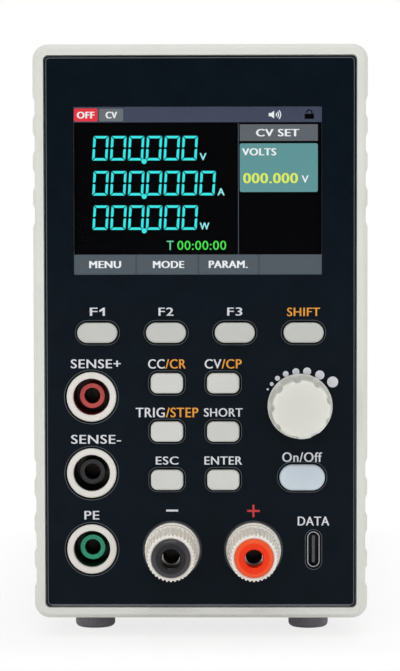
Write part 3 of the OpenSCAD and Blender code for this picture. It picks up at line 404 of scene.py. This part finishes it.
def dress_cad_nodes():
    """Every CAD node takes the finish of its material slot, and the mode keys a paler copy of the key
    plastic, painted light for the brighter light on them.
    """
    # painted light: the mode keys share the key plastic, drawn paler for the brighter light they catch
    mode_key_painted_light = smooth_plastic("mode_key_grey_painted_light", srgb(207, 208, 204), 0.42, 0.02)
    for part in frame["record"]["subparts"]:
        node = part["node"]
        finish = mode_key_painted_light if node in MODE_KEYS else FINISHES[part["material_slot"]]
        mesh = NODES[node].data
        mesh.materials.clear()
        mesh.materials.append(finish.material)
    bpy.context.view_layer.update()
    # painted shade in the sockets and painted highlights on the tips' edges
    for slot, node, radius, painted_colour in PAINTED_SHADE_AND_HIGHLIGHT:
        FINISHES[slot].paint_light_beyond(node, radius, painted_colour)


# Outlines on the front: lists of (x, z) from the panel's middle, anticlockwise to the user


def arc(x, z, r, start, end, count):
    """Points along an arc in degrees, with both its ends."""
    first = math.radians(start)
    turn = math.radians(end - start) / count
    angles = [first + i * turn for i in range(count + 1)]
    return [(x + r * math.cos(a), z + r * math.sin(a)) for a in angles]


def ring(x, z, r, count):
    """Points all the way round a circle."""
    return arc(x, z, r, 0, 360, count)[:-1]


def arc_strip(x, z, inner, outer, start, end, count):
    """A strip of even width along an arc."""
    return arc(x, z, outer, start, end, count) + arc(x, z, inner, start, end, count)[::-1]


def rect_outline(x0, x1, z0, z1):
    return [(x0, z0), (x1, z0), (x1, z1), (x0, z1)]


def soft_outline(x0, x1, z0, z1, r, steps=5):
    """A rectangle with rounded corners."""
    corners = [(x1 - r, z0 + r, -90), (x1 - r, z1 - r, 0), (x0 + r, z1 - r, 90), (x0 + r, z0 + r, 180)]
    outline = []
    for x, z, start in corners:
        outline += arc(x, z, r, start, start + 90, steps)
    return outline


def cross_outline(x, z, arm, half):
    """An upright cross: one arm, turned three more times by a right angle."""
    corners = [(-half, -arm), (half, -arm), (half, -half)]
    outline = []
    for _ in range(4):
        outline += [(x + dx, z + dz) for dx, dz in corners]
        corners = [(-dz, dx) for dx, dz in corners]
    return outline


def figure_one(right, low, high):
    """A one with a flag, which the built-in font leaves off."""
    stem, top, reach = 0.55, 0.42, 1.35
    flag_high, notch, flag_low = 0.62, 0.72, 1.1
    return [(right - stem, low), (right, low), (right, high), (right - top, high),
            (right - reach, high - flag_high), (right - reach, high - flag_low),
            (right - stem, high - notch)]


def front_place(node):
    """Middle x and z of a node, in millimetres from the panel's middle."""
    low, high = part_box(node)
    return (low.x + high.x) / 2 / MM, ((low.z + high.z) / 2 - MID_Z) / MM


# Flat shapes on the front: prints on the panel and pixels on the display
PRINT_T = 0.03
SECOND_PASS = 0.003
STROKE_W = 0.12
LETTER_GAP = 1.08
LETTER_DEPTH = 0.05
LETTER_STEPS = 4
DISC_STEPS = 28


def letter_mesh(text):
    """The built-in font as a thin mesh whose material index says which letter a face belongs to."""
    curve = bpy.data.curves.new("letters", "FONT")
    curve.body = text
    curve.extrude = LETTER_DEPTH
    curve.space_character = LETTER_GAP
    curve.resolution_u = LETTER_STEPS
    for i in range(len(text)):
        curve.materials.append(None)
        curve.body_format[i].material_index = i
    carrier = bpy.data.objects.new("letters", curve)
    bpy.context.scene.collection.objects.link(carrier)
    bpy.context.view_layer.update()
    solid = carrier.evaluated_get(bpy.context.evaluated_depsgraph_get())
    mesh = bpy.data.meshes.new_from_object(solid)
    bpy.data.objects.remove(carrier)
    bpy.data.curves.remove(curve)
    return mesh


def join_loops(mesh, first, second):
    """Faces between two closed loops of vertices with the same number of points."""
    count = len(first)
    for i in range(count):
        j = (i + 1) % count
        mesh.faces.new((first[i], first[j], second[j], second[i]))


def make_piece(name, mesh, finish):
    """An object from a bmesh, with its faces turned outwards."""
    bmesh.ops.recalc_face_normals(mesh, faces=mesh.faces)
    data = bpy.data.meshes.new(name)
    mesh.to_mesh(data)
    mesh.free()
    data.materials.append(finish.material)
    piece = bpy.data.objects.new(name, data)
    bpy.context.scene.collection.objects.link(piece)
    return piece


class Film:
    """Flat shapes of one colour, gathered into one thin closed mesh that faces the user."""

    def __init__(self, name, finish, face_y, thickness_mm, slot):
        self.name = name
        self.finish = finish
        self.face_y = face_y
        self.thickness = thickness_mm * MM
        self.slot = slot
        self.mesh = bmesh.new()

    def vertex(self, x, z, out):
        return self.mesh.verts.new(Vector((x * MM, self.face_y - out, MID_Z + z * MM)))

    def loop(self, outline, out):
        return [self.vertex(x, z, out) for x, z in outline]

    def prism(self, outline):
        back = self.loop(outline, 0)
        front = self.loop(outline, self.thickness)
        self.mesh.faces.new(front)
        self.mesh.faces.new(back[::-1])
        join_loops(self.mesh, back, front)

    def rect(self, x0, x1, z0, z1):
        self.prism(rect_outline(x0, x1, z0, z1))

    def disc(self, x, z, r):
        self.prism(ring(x, z, r, DISC_STEPS))

    def band(self, outer, inner):
        """A closed strip between two outlines with the same number of points."""
        loops = [self.loop(outer, 0), self.loop(outer, self.thickness)]
        loops += [self.loop(inner, self.thickness), self.loop(inner, 0)]
        for k in range(4):
            join_loops(self.mesh, loops[k], loops[(k + 1) % 4])

    def words(self, text, x0, x1, z0, z1, heavy=STROKE_W, start=0, end=None):
        """Letters stretched to a box, drawn twice a little apart so that their strokes come out bolder.
        Only those from start to end are kept, so one line can have two colours."""
        letters = letter_mesh(text)
        low = [min(v.co[k] for v in letters.vertices) for k in range(2)]
        high = [max(v.co[k] for v in letters.vertices) for k in range(2)]
        wide = (x1 - x0 - heavy) / (high[0] - low[0])
        tall = (z1 - z0) / (high[1] - low[1])
        kept = range(start, len(text) if end is None else end)
        faces = [list(face.vertices) for face in letters.polygons if face.material_index in kept]
        for shift, lift in ((0, 0), (heavy, SECOND_PASS * MM)):
            places = {}
            for index in [i for face in faces for i in face]:
                if index not in places:
                    c = letters.vertices[index].co
                    x = x0 + shift + (c.x - low[0]) * wide
                    z = z0 + (c.y - low[1]) * tall
                    places[index] = self.vertex(x, z, self.thickness + lift if c.z > 0 else 0)
            for face in faces:
                self.mesh.faces.new([places[index] for index in face])
        bpy.data.meshes.remove(letters)

    def done(self):
        piece = make_piece(self.name, self.mesh, self.finish)
        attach(piece, "housing")


# Legends printed on the panel. Each row: words, the node they belong to, width, height, clear space above
# the node's visible edge, half height of that edge, and how many letters come before the second colour.
F_KEY, MODE_KEY, LOAD_KEY, SOCKET = 2.45, 2.45, 3.15, 6.1
LEGENDS = [
    ("F1", "key_f1", 3.7, 2.0, 1.7, F_KEY, 1),
    ("F2", "key_f2", 3.7, 2.0, 1.7, F_KEY, 2),
    ("F3", "key_f3", 3.7, 2.0, 1.7, F_KEY, 2),
    ("SHIFT", "key_shift", 8.1, 2.1, 1.55, F_KEY, 0),
    ("CC/CR", "key_cc", 9.3, 2.3, 1.11, MODE_KEY, 2),
    ("CV/CP", "key_cv", 9.1, 2.3, 1.11, MODE_KEY, 2),
    ("TRIG/STEP", "key_trig", 15.4, 2.4, 1.0, MODE_KEY, 4),
    ("SHORT", "key_short", 9.5, 2.1, 1.15, MODE_KEY, 5),
    ("ESC", "key_esc", 5.6, 2.0, 1.25, MODE_KEY, 3),
    ("ENTER", "key_enter", 9.3, 2.0, 1.25, MODE_KEY, 5),
    ("On/Off", "key_on_off", 9.8, 2.4, 0.57, LOAD_KEY, 6),
    ("SENSE+", "sense_plus_collar", 12.3, 2.2, 0.95, SOCKET, 6),
    ("SENSE-", "sense_minus_collar", 12.3, 2.2, 1.15, SOCKET, 6),
    ("PE", "earth_collar", 3.7, 2.1, 1.25, SOCKET, 2),
]
SENSE_SHIFT = 1.1
DATA_W, DATA_LOW, DATA_HIGH = 7.8, 5.95, 8.15
MINUS_W, MINUS_LOW, MINUS_HIGH = 2.96, 9.5, 9.99
PLUS_ARM, PLUS_HALF, PLUS_RISE = 1.55, 0.25, 9.65

# Growing dots round the knob: angle in degrees, distance from its middle, diameter
DOT_RING = [(152, 8.95, 0.55), (141.5, 8.84, 0.95), (128.6, 8.82, 1.26), (113.6, 8.7, 1.46),
            (96.6, 8.55, 1.76), (78.4, 8.74, 2.01), (57.7, 9.1, 2.28), (36.8, 10.02, 2.7)]
DOT_DROP = 0.16


def panel_print(name, ink, colour, slot):
    return Film(name, printed_ink(ink, colour), PANEL_Y, PRINT_T, slot)


def print_legends():
    white = panel_print("legends_white", "ink_white", srgb(212, 213, 219), "collar_white")
    orange = panel_print("legends_orange", "ink_orange", srgb(226, 150, 48), "tip_red")
    red = panel_print("legend_plus", "ink_red", srgb(200, 50, 44), "insulator_red")
    for text, node, width, height, rise, edge, split in LEGENDS:
        x, z = front_place(node)
        x += SENSE_SHIFT if text.startswith("SENSE") else 0
        low = z + edge + rise
        box = (x - width / 2, x + width / 2, low, low + height)
        if split:
            white.words(text, *box, end=split)
        if text == "F1":
            white.prism(figure_one(x + width / 2, low, low + height))
        elif split < len(text):
            orange.words(text, *box, start=split)
    x, z = front_place("usb_shell")
    white.words("DATA", x - DATA_W / 2, x + DATA_W / 2, z + DATA_LOW, z + DATA_HIGH)
    x, z = front_place("control_knob")
    for angle, reach, diameter in DOT_RING:
        a = math.radians(angle)
        white.disc(x + reach * math.cos(a), z - DOT_DROP + reach * math.sin(a), diameter / 2)
    x, z = front_place("negative_collar")
    white.rect(x - MINUS_W / 2, x + MINUS_W / 2, z + MINUS_LOW, z + MINUS_HIGH)
    x, z = front_place("positive_collar")
    red.prism(cross_outline(x, z + PLUS_RISE, PLUS_ARM, PLUS_HALF))
    for film in (white, orange, red):
        film.done()


# Cut edges of the panel, with a painted highlight as a fine grey line along each, and painted shade as a
# dark sheet in the gaps inside them.
# Each cut-out: node, half width, half height and corner radius of what fills it.
CUT_OUTS = [(key, 4.9, F_KEY, F_KEY) for key in ("key_f1", "key_f2", "key_f3", "key_shift")]
CUT_OUTS += [(key, 3.95, MODE_KEY, 1.6) for key in MODE_KEYS]
CUT_OUTS += [("key_on_off", 5.55, LOAD_KEY, LOAD_KEY)]
CUT_OUTS += [(collar, SOCKET, SOCKET, SOCKET) for collar in SOCKET_COLLARS]
CUT_OUTS += [("usb_shell", 1.48, 4.37, 1.48)]
KEY_GAP, EDGE_W = 0.5, 0.12
# painted shade: a dark sheet a little behind the panel, filling each gap up to what fills the cut-out
SHADE_GAP, SHADE_DEPTH, SHADE_T = 0.06, 0.35, 0.1
# painted edge highlights: radius round the posts, border insets and corner, and the lower sill
POST_EDGE, POST_STEPS = 7.1, 48
BORDER, BORDER_R = (0.36, 0.54), 1.3
SILL = (0.05, 0.34)
CORNER_STEPS = 8


def grown_outline(x0, x1, z0, z1, r, grow):
    """A rounded rectangle grown by an even width all round."""
    return soft_outline(x0 - grow, x1 + grow, z0 - grow, z1 + grow, r + grow, CORNER_STEPS)


def edge_cut_outs():
    # painted shade in the gaps round keys, sockets and port
    gap_shade_finish = rubber("painted_gap_shade", srgb(10, 11, 13)).specular(0.1)
    shade_sheet = Film("painted_gap_shade", gap_shade_finish, PANEL_Y + SHADE_DEPTH * MM, SHADE_T, "panel_black")
    # painted highlight: a pale grey line along each cut edge, round the posts, along the panel's border
    # and at its lower sill
    edge_highlight = smooth_plastic("painted_edge_highlights", srgb(86, 93, 99), 0.4)
    edges = Film("painted_edge_highlights", edge_highlight, PANEL_Y, PRINT_T, "panel_black")
    for node, half_w, half_h, r in CUT_OUTS:
        x, z = front_place(node)
        box = (x - half_w, x + half_w, z - half_h, z + half_h)
        outer, inner, filled = [grown_outline(*box, r, g) for g in (KEY_GAP + EDGE_W, KEY_GAP, SHADE_GAP)]
        edges.band(outer, inner)
        shade_sheet.band(inner, filled)
    for node in ("negative_collar", "positive_collar"):
        x, z = front_place(node)
        edges.band(ring(x, z, POST_EDGE + EDGE_W, POST_STEPS), ring(x, z, POST_EDGE, POST_STEPS))
    low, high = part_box("front_panel")
    x0, x1 = low.x / MM, high.x / MM
    z0, z1 = (low.z - MID_Z) / MM, (high.z - MID_Z) / MM
    edges.band(*[grown_outline(x0, x1, z0, z1, BORDER_R, -inset) for inset in BORDER])
    edges.rect(x0 + BORDER_R, x1 - BORDER_R, z0 + SILL[0], z0 + SILL[1])
    edges.done()
    shade_sheet.done()


# painted highlight ring on each stud's face: outer and inner radius, thickness and points round
GLINT_OUTER, GLINT_INNER, GLINT_T, GLINT_STEPS = 2.4, 2.02, 0.05, 40


def paint_stud_glints():
    """Painted highlight: a bright metal ring at the mouth of each post's socket, standing in for the
    glint on the stud's rim.
    """
    glint = plated_metal("stud_lip", srgb(206, 203, 196), 0.2)
    for node in ("negative_stud", "positive_stud"):
        x, z = front_place(node)
        glint_ring = Film(node + "_lip", glint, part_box(node)[0].y, GLINT_T, "stud_nickel")
        glint_ring.band(ring(x, z, GLINT_OUTER, GLINT_STEPS), ring(x, z, GLINT_INNER, GLINT_STEPS))
        glint_ring.done()


# The display. Its places are counted from the lit area's upper left corner, to the right and down.
# Its boxes are left, right, top and bottom.
SCREEN_W, SCREEN_H = 60.7, 41.0
WINDOW_X, WINDOW_Z = front_place("display_window")
SCREEN_LEFT = WINDOW_X - SCREEN_W / 2
SCREEN_TOP = WINDOW_Z + SCREEN_H / 2
WINDOW_PRINT = 1.1
GLASS_SINK = 0.3
LCD_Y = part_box("lcd_module")[0].y + GLASS_SINK * MM
LAYER = 0.04
GLOW = 1.05

# Lit panes: name, colour, layer, boxes and corner radius
STATUS_H = 3.72
SOFT_KEYS_TOP = 36.1
SOFT_KEY_ENDS = (15.0, 30.25, 45.1)
SEAM_W = 0.4
SOFT_KEY_STARTS = (0,) + tuple(end + SEAM_W for end in SOFT_KEY_ENDS)
SOFT_KEYS = [(start, end, SOFT_KEYS_TOP, SCREEN_H)
             for start, end in zip(SOFT_KEY_STARTS, SOFT_KEY_ENDS + (SCREEN_W,))]
SEAMS = [(end, end + SEAM_W, SOFT_KEYS_TOP, SCREEN_H) for end in SOFT_KEY_ENDS]
DIVIDER = (40.2, 40.4, 3.9, 36.0)
PANES = [
    ("slate", srgb(58, 66, 87), 1, [(0, SCREEN_W, 0, STATUS_H)], 0),
    ("grey", srgb(74, 85, 93), 1, SOFT_KEYS, 0),
    ("seams", srgb(58, 66, 80), 1, SEAMS + [DIVIDER], 0),
    ("tag", srgb(104, 110, 114), 2, [(6.2, 12.1, 0.35, 3.45)], 0.3),
    ("header", srgb(92, 98, 104), 1, [(40.65, 59.75, 4.25, 8.3)], 0),
    ("off", srgb(232, 44, 58), 2, [(0.05, 5.85, 0.3, 3.45)], 0.35),
    ("teal", srgb(92, 150, 152), 1, [(40.65, 59.75, 8.9, 20.8)], 0.45),
]

# Colours and layers of what is written on them
SCREEN_INKS = [
    ("cyan", srgb(52, 232, 232), 1),
    ("pale", srgb(150, 238, 240), 1),
    ("mint", srgb(104, 218, 160), 1),
    ("green", srgb(64, 222, 74), 1),
    ("yellow", srgb(226, 242, 92), 2),
    ("white", srgb(240, 244, 246), 3),
]

# Words: colour, text, box and weight
FINE, MEDIUM, BOLD = 0.02, 0.06, 0.22
SCREEN_WORDS = [
    ("pale", "V", (30.8, 32.5, 11.25, 13.0), STROKE_W),
    ("pale", "A", (35.15, 36.95, 19.85, 21.6), STROKE_W),
    ("pale", "W", (30.8, 33.2, 28.25, 30.0), STROKE_W),
    ("mint", "T", (22.7, 24.4, 32.7, 34.95), FINE),
    ("green", "00:00:00", (25.3, 37.3, 32.7, 34.95), MEDIUM),
    ("yellow", "000.000", (41.45, 54.9, 16.15, 18.65), BOLD),
    ("white", "OFF", (0.75, 5.1, 1.1, 2.75), BOLD),
    ("white", "CV", (7.8, 10.65, 1.1, 2.75), BOLD),
    ("white", "CV SET", (44.6, 55.2, 5.4, 7.2), BOLD),
    ("white", "VOLTS", (41.2, 49.6, 10.1, 11.85), BOLD),
    ("white", "V", (55.8, 57.5, 16.75, 18.55), STROKE_W),
    ("white", "MENU", (3.65, 11.5, 37.65, 39.4), BOLD),
    ("white", "MODE", (19.3, 27.0, 37.65, 39.4), BOLD),
    ("white", "PARAM.", (33.0, 42.6, 37.6, 39.4), BOLD),
]

# Rows of seven-segment zeros: how many, and where the row's foot is
READINGS = [(6, 13.03), (7, 21.6), (6, 30.02)]
DIGITS_LEFT = 4.45
DIGIT_W, DIGIT_H, DIGIT_STEP, DIGIT_SLANT = 3.75, 6.0, 4.37, 0.066
STROKE, CUT = 0.77, 0.16
POINT_AFTER, POINT_BACK, POINT_DROP, POINT_R = 3, 0.35, 0.25, 0.62
SPEAKER_LEFT, SPEAKER_MIDDLE = 47.75, 1.9
PADLOCK_LEFT, PADLOCK_FOOT, PADLOCK_LAYER = 56.5, 2.95, 2


def screen_box(x0, x1, y0, y1):
    return SCREEN_LEFT + x0, SCREEN_LEFT + x1, SCREEN_TOP - y1, SCREEN_TOP - y0


def display_film(name, finish, layer):
    """A film that lies a number of layers above the display's glass."""
    return Film("display_" + name, finish, LCD_Y - layer * LAYER * MM, LAYER, "window_dark")


def lit_film(name, colour, layer):
    return display_film(name, lit_pixels("pixels_" + name, colour, GLOW), layer)


def zero_segments():
    """The six strokes of a seven-segment zero with mitred ends, upright, from its lower left corner."""
    w, h, t, c = DIGIT_W, DIGIT_H, STROKE, CUT
    mid = h / 2
    flat = [(c, 0), (w - c, 0), (w - t, t - c), (t, t - c)]
    upright = [(0, c), (t - c, t), (t - c, mid - t / 2), (t / 3, mid - c), (0, mid - 1.5 * c)]
    pieces = [flat, upright, [(w - x, y) for x, y in reversed(upright)]]
    return pieces + [[(x, h - y) for x, y in reversed(piece)] for piece in pieces]


def draw_digits(film, count, bottom):
    """A row of zeros that lean to the right, with a round point after the third."""
    left, foot = SCREEN_LEFT + DIGITS_LEFT, SCREEN_TOP - bottom
    for i in range(count):
        for piece in zero_segments():
            film.prism([(left + i * DIGIT_STEP + x + y * DIGIT_SLANT, foot + y) for x, y in piece])
    film.disc(left + POINT_AFTER * DIGIT_STEP - POINT_BACK, foot - POINT_DROP, POINT_R)


def draw_speaker(film):
    """A loudspeaker with three waves."""
    x, z = SCREEN_LEFT + SPEAKER_LEFT, SCREEN_TOP - SPEAKER_MIDDLE
    magnet_w, magnet_half, cone_w, cone_half = 0.55, 0.4, 1.3, 0.95
    film.prism([(x, z - magnet_half), (x + magnet_w, z - magnet_half), (x + cone_w, z - cone_half),
                (x + cone_w, z + cone_half), (x + magnet_w, z + magnet_half), (x, z + magnet_half)])
    waves_x, half_w, spread, steps = x + 1.35, 0.12, 42, 8
    for r in (0.55, 1.05, 1.55):
        film.prism(arc_strip(waves_x, z, r - half_w, r + half_w, -spread, spread, steps))


def draw_padlock(film):
    """An open padlock: a body under a shackle that stops short on one side."""
    x, z = SCREEN_LEFT + PADLOCK_LEFT, SCREEN_TOP - PADLOCK_FOOT
    body_w, body_h = 2.3, 1.25
    rise, inner, outer, shut_end, open_end, steps = 1.5, 0.52, 0.8, -20, 180, 10
    film.rect(x, x + body_w, z, z + body_h)
    film.prism(arc_strip(x + body_w / 2, z + rise, inner, outer, shut_end, open_end, steps))


def print_window():
    """A dark print on the window round the lit area."""
    rim = Film("window_print", FINISHES["panel_black"], PANEL_Y, PRINT_T, "panel_black")
    x0, x1, z0, z1 = screen_box(0, SCREEN_W, 0, SCREEN_H)
    w = WINDOW_PRINT
    rim.band(rect_outline(x0 - w, x1 + w, z0 - w, z1 + w), rect_outline(x0, x1, z0, z1))
    rim.done()


def light_display():
    unlit = Finish("display_glass", srgb(2, 2, 3), roughness=0.5)
    unlit.mottle(size_mm=3, amount=0.2).specular(0.02)
    glass = display_film("glass", unlit, 0)
    glass.rect(*screen_box(0, SCREEN_W, 0, SCREEN_H))
    glass.done()
    print_window()
    for name, colour, layer, boxes, corner in PANES:
        pane = lit_film(name, colour, layer)
        for box in boxes:
            edges = screen_box(*box)
            pane.prism(soft_outline(*edges, corner) if corner else rect_outline(*edges))
        pane.done()
    inks = {name: lit_film(name, colour, layer) for name, colour, layer in SCREEN_INKS}
    for count, bottom in READINGS:
        draw_digits(inks["cyan"], count, bottom)
    for ink, text, box, heavy in SCREEN_WORDS:
        inks[ink].words(text, *screen_box(*box), heavy=heavy)
    draw_speaker(inks["white"])
    for film in inks.values():
        film.done()
    black = display_film("black", unlit, PADLOCK_LAYER)
    draw_padlock(black)
    black.done()


# Rocker marks: a bar on one half and a ring on the other, laid on the sloping faces
MARK_REACH = 4.6
BAR_W, BAR_H = 0.7, 3.6
RING_R, RING_W, RING_STEPS = 1.75, 0.55, 32
RAY_START = 10


def rocker_spot(side):
    """Where a mark's middle lies on one half of the rocker, and the face's normal there."""
    rocker = NODES["switch_rocker"]
    low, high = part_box("switch_rocker")
    start = Vector((side * MARK_REACH * MM, high.y + RAY_START * MM, (low.z + high.z) / 2))
    into = rocker.matrix_world.inverted()
    _, spot, normal, _ = rocker.ray_cast(into @ start, into.to_3x3() @ Vector((0, -1, 0)))
    return rocker.matrix_world @ spot, (rocker.matrix_world.to_3x3() @ normal).normalized()


def lay_mark(name, side, loops, ink):
    """A thin closed mark on the rocker: one outline is filled, two leave a ring between them."""
    spot, normal = rocker_spot(side)
    across = Vector((0, 0, 1)).cross(normal)
    mesh = bmesh.new()
    rows = []
    for loop in loops:
        for out in (0.0, PRINT_T * MM):
            rows.append([mesh.verts.new(spot + across * x * MM + Vector((0, 0, z * MM)) + normal * out)
                         for x, z in loop])
    if len(loops) == 1:
        mesh.faces.new(rows[1])
        mesh.faces.new(rows[0][::-1])
        join_loops(mesh, rows[0], rows[1])
    else:
        for first, second in ((0, 1), (1, 3), (3, 2), (2, 0)):
            join_loops(mesh, rows[first], rows[second])
    mark = make_piece(name, mesh, ink)
    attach(mark, "rocker")


def mark_rocker():
    bpy.context.view_layer.update()
    ink = printed_ink("ink_rocker", srgb(224, 224, 222))
    lay_mark("mark_on", -1, [rect_outline(-BAR_W / 2, BAR_W / 2, -BAR_H / 2, BAR_H / 2)], ink)
    lay_mark("mark_off", 1, [ring(0, 0, r, RING_STEPS) for r in (RING_R, RING_R - RING_W)], ink)


# Studio: a pale floor, soft lights and a camera at the photograph's viewing angle, in radians
CAMERA_DISTANCE = 640 * MM
CAMERA_X = 7.52 * MM
CAMERA_Z = 107.86 * MM
CAMERA_PITCH = 0.0516
CAMERA_YAW = -0.0119
CAMERA_ROLL = -0.0017
FOCAL_PIXELS = 2614.65
IMAGE_HEIGHT = 671
SENSOR = 36.0


def place_camera():
    data = bpy.data.cameras.new("camera")
    data.sensor_fit = "VERTICAL"
    data.sensor_height = SENSOR
    data.lens = FOCAL_PIXELS * SENSOR / IMAGE_HEIGHT
    data.clip_start = 0.02
    data.clip_end = 50
    ahead = math.cos(CAMERA_PITCH)
    forward = Vector((math.sin(CAMERA_YAW) * ahead, math.cos(CAMERA_YAW) * ahead,
                      -math.sin(CAMERA_PITCH)))
    level = Vector((math.cos(CAMERA_YAW), -math.sin(CAMERA_YAW), 0))
    upright = level.cross(forward)
    right = level * math.cos(CAMERA_ROLL) + upright * math.sin(CAMERA_ROLL)
    up = upright * math.cos(CAMERA_ROLL) - level * math.sin(CAMERA_ROLL)
    turn = Matrix((right, up, -forward)).transposed().to_4x4()
    camera = bpy.data.objects.new("camera", data)
    camera.matrix_world = Matrix.Translation((CAMERA_X, RIM_Y - CAMERA_DISTANCE, CAMERA_Z)) @ turn
    bpy.context.scene.collection.objects.link(camera)
    bpy.context.scene.camera = camera


# Soft boxes: name, place, what it points at, width, height, watts
FRONT_MIDDLE = (0, RIM_Y, MID_Z)
LAMPS = [
    ("key", (-0.1, -1.2, 1.5), FRONT_MIDDLE, 1.2, 0.8, 7.2),
    ("left", (-1.5, -0.9, 0.5), FRONT_MIDDLE, 0.35, 0.9, 4.2),
    ("right", (1.5, -0.9, 0.5), FRONT_MIDDLE, 0.35, 0.9, 3.4),
    ("low_left", (-0.8, -1.2, 0.2), FRONT_MIDDLE, 0.3, 0.3, 0.7),
    ("low_right", (0.8, -1.2, 0.2), FRONT_MIDDLE, 0.3, 0.3, 0.5),
    ("rear", (0.5, 1.4, 0.9), (0, 0.1, 0.08), 1.0, 0.8, 5),
    ("top", (0.1, 0.2, 1.5), (0, 0, 0.1), 1.0, 1.0, 3),
]


def light_studio():
    for name, place, target, width, height, watts in LAMPS:
        data = bpy.data.lights.new(name, "AREA")
        data.shape = "RECTANGLE"
        data.size = width
        data.size_y = height
        data.energy = watts
        lamp = bpy.data.objects.new(name, data)
        lamp.location = place
        lamp.rotation_euler = (Vector(target) - Vector(place)).to_track_quat("-Z", "Y").to_euler()
        bpy.context.scene.collection.objects.link(lamp)


# The room as light and in reflections: its brightness all round, and in front of and behind the object
AMBIENT = 0.56
FRONT_ROOM, BACK_ROOM = 0.22, 1.0
FRONT_END, BACK_END = -0.6, 0.4


def white_background(nodes, strength):
    light = nodes.new("ShaderNodeBackground")
    light.inputs["Color"].default_value = (1, 1, 1, 1)
    light.inputs["Strength"].default_value = strength
    return light


def build_world():
    """White to the eye and bright behind the object, with a dimmer room in front for reflections."""
    world = bpy.data.worlds.new("studio")
    bpy.context.scene.world = world
    world.use_nodes = True
    nodes, links = world.node_tree.nodes, world.node_tree.links
    nodes.clear()
    direction = nodes.new("ShaderNodeTexCoord")
    split = nodes.new("ShaderNodeSeparateXYZ")
    links.new(direction.outputs["Generated"], split.inputs["Vector"])
    room = map_range(nodes, links, split.outputs["Y"], FRONT_END, BACK_END, FRONT_ROOM, BACK_ROOM)
    ambient = white_background(nodes, AMBIENT)
    mirrored = white_background(nodes, BACK_ROOM)
    seen = white_background(nodes, 1.0)
    links.new(room, mirrored.inputs["Strength"])
    shiny = any_ray(nodes, links, ("Is Glossy Ray", "Is Transmission Ray"))
    eye = any_ray(nodes, links, ("Is Camera Ray",))
    unseen = mix_shaders(nodes, links, shiny,
                         ambient.outputs["Background"], mirrored.outputs["Background"])
    surface = mix_shaders(nodes, links, eye, unseen, seen.outputs["Background"])
    output = nodes.new("ShaderNodeOutputWorld")
    links.new(surface, output.inputs["Surface"])


# The floor is white to the eye and in reflections from FADE_WIDTH outwards, and nearly so by the object
FLOOR_SIZE = 8.0
FADE_WIDTH = 0.035
NEAR_WHITE = 0.78


def lay_floor():
    """A pale floor that takes the object's shadow and fades into the white background."""
    mesh = bpy.data.meshes.new("floor")
    h = FLOOR_SIZE / 2
    mesh.from_pydata([(-h, -h, 0), (h, -h, 0), (h, h, 0), (-h, h, 0)], [], [(0, 1, 2, 3)])
    floor = bpy.data.objects.new("floor", mesh)
    bpy.context.scene.collection.objects.link(floor)
    finish = Finish("floor", srgb(250, 250, 250), roughness=0.9).mottle(size_mm=60, amount=0.004)
    nodes, links = finish.nodes, finish.links
    footprint = (BEZEL_HIGH.x, -RIM_Y, 0)
    outside = (("ABSOLUTE", None), ("SUBTRACT", footprint), ("MAXIMUM", (0, 0, 0)), ("LENGTH", None))
    distance = vector_chain(nodes, links, finish.coordinates, outside)
    fade = map_range(nodes, links, distance, 0.0, FADE_WIDTH, NEAR_WHITE, 1.0, smooth=True)
    direct = any_ray(nodes, links, ("Is Camera Ray", "Is Glossy Ray", "Is Transmission Ray"))
    seen = nodes.new("ShaderNodeMath")
    seen.operation = "MULTIPLY"
    links.new(fade, seen.inputs[0])
    links.new(direct, seen.inputs[1])
    white = nodes.new("ShaderNodeEmission")
    lit = finish.shader.outputs["BSDF"]
    surface = mix_shaders(nodes, links, seen.outputs["Value"], lit, white.outputs["Emission"])
    links.new(surface, nodes["Material Output"].inputs["Surface"])
    mesh.materials.append(finish.material)


place_camera()
dress_cad_nodes()
print_legends()
edge_cut_outs()
paint_stud_glints()
light_display()
mark_rocker()
build_world()
light_studio()
lay_floor()
bpy.context.scene.view_settings.view_transform = "Standard"
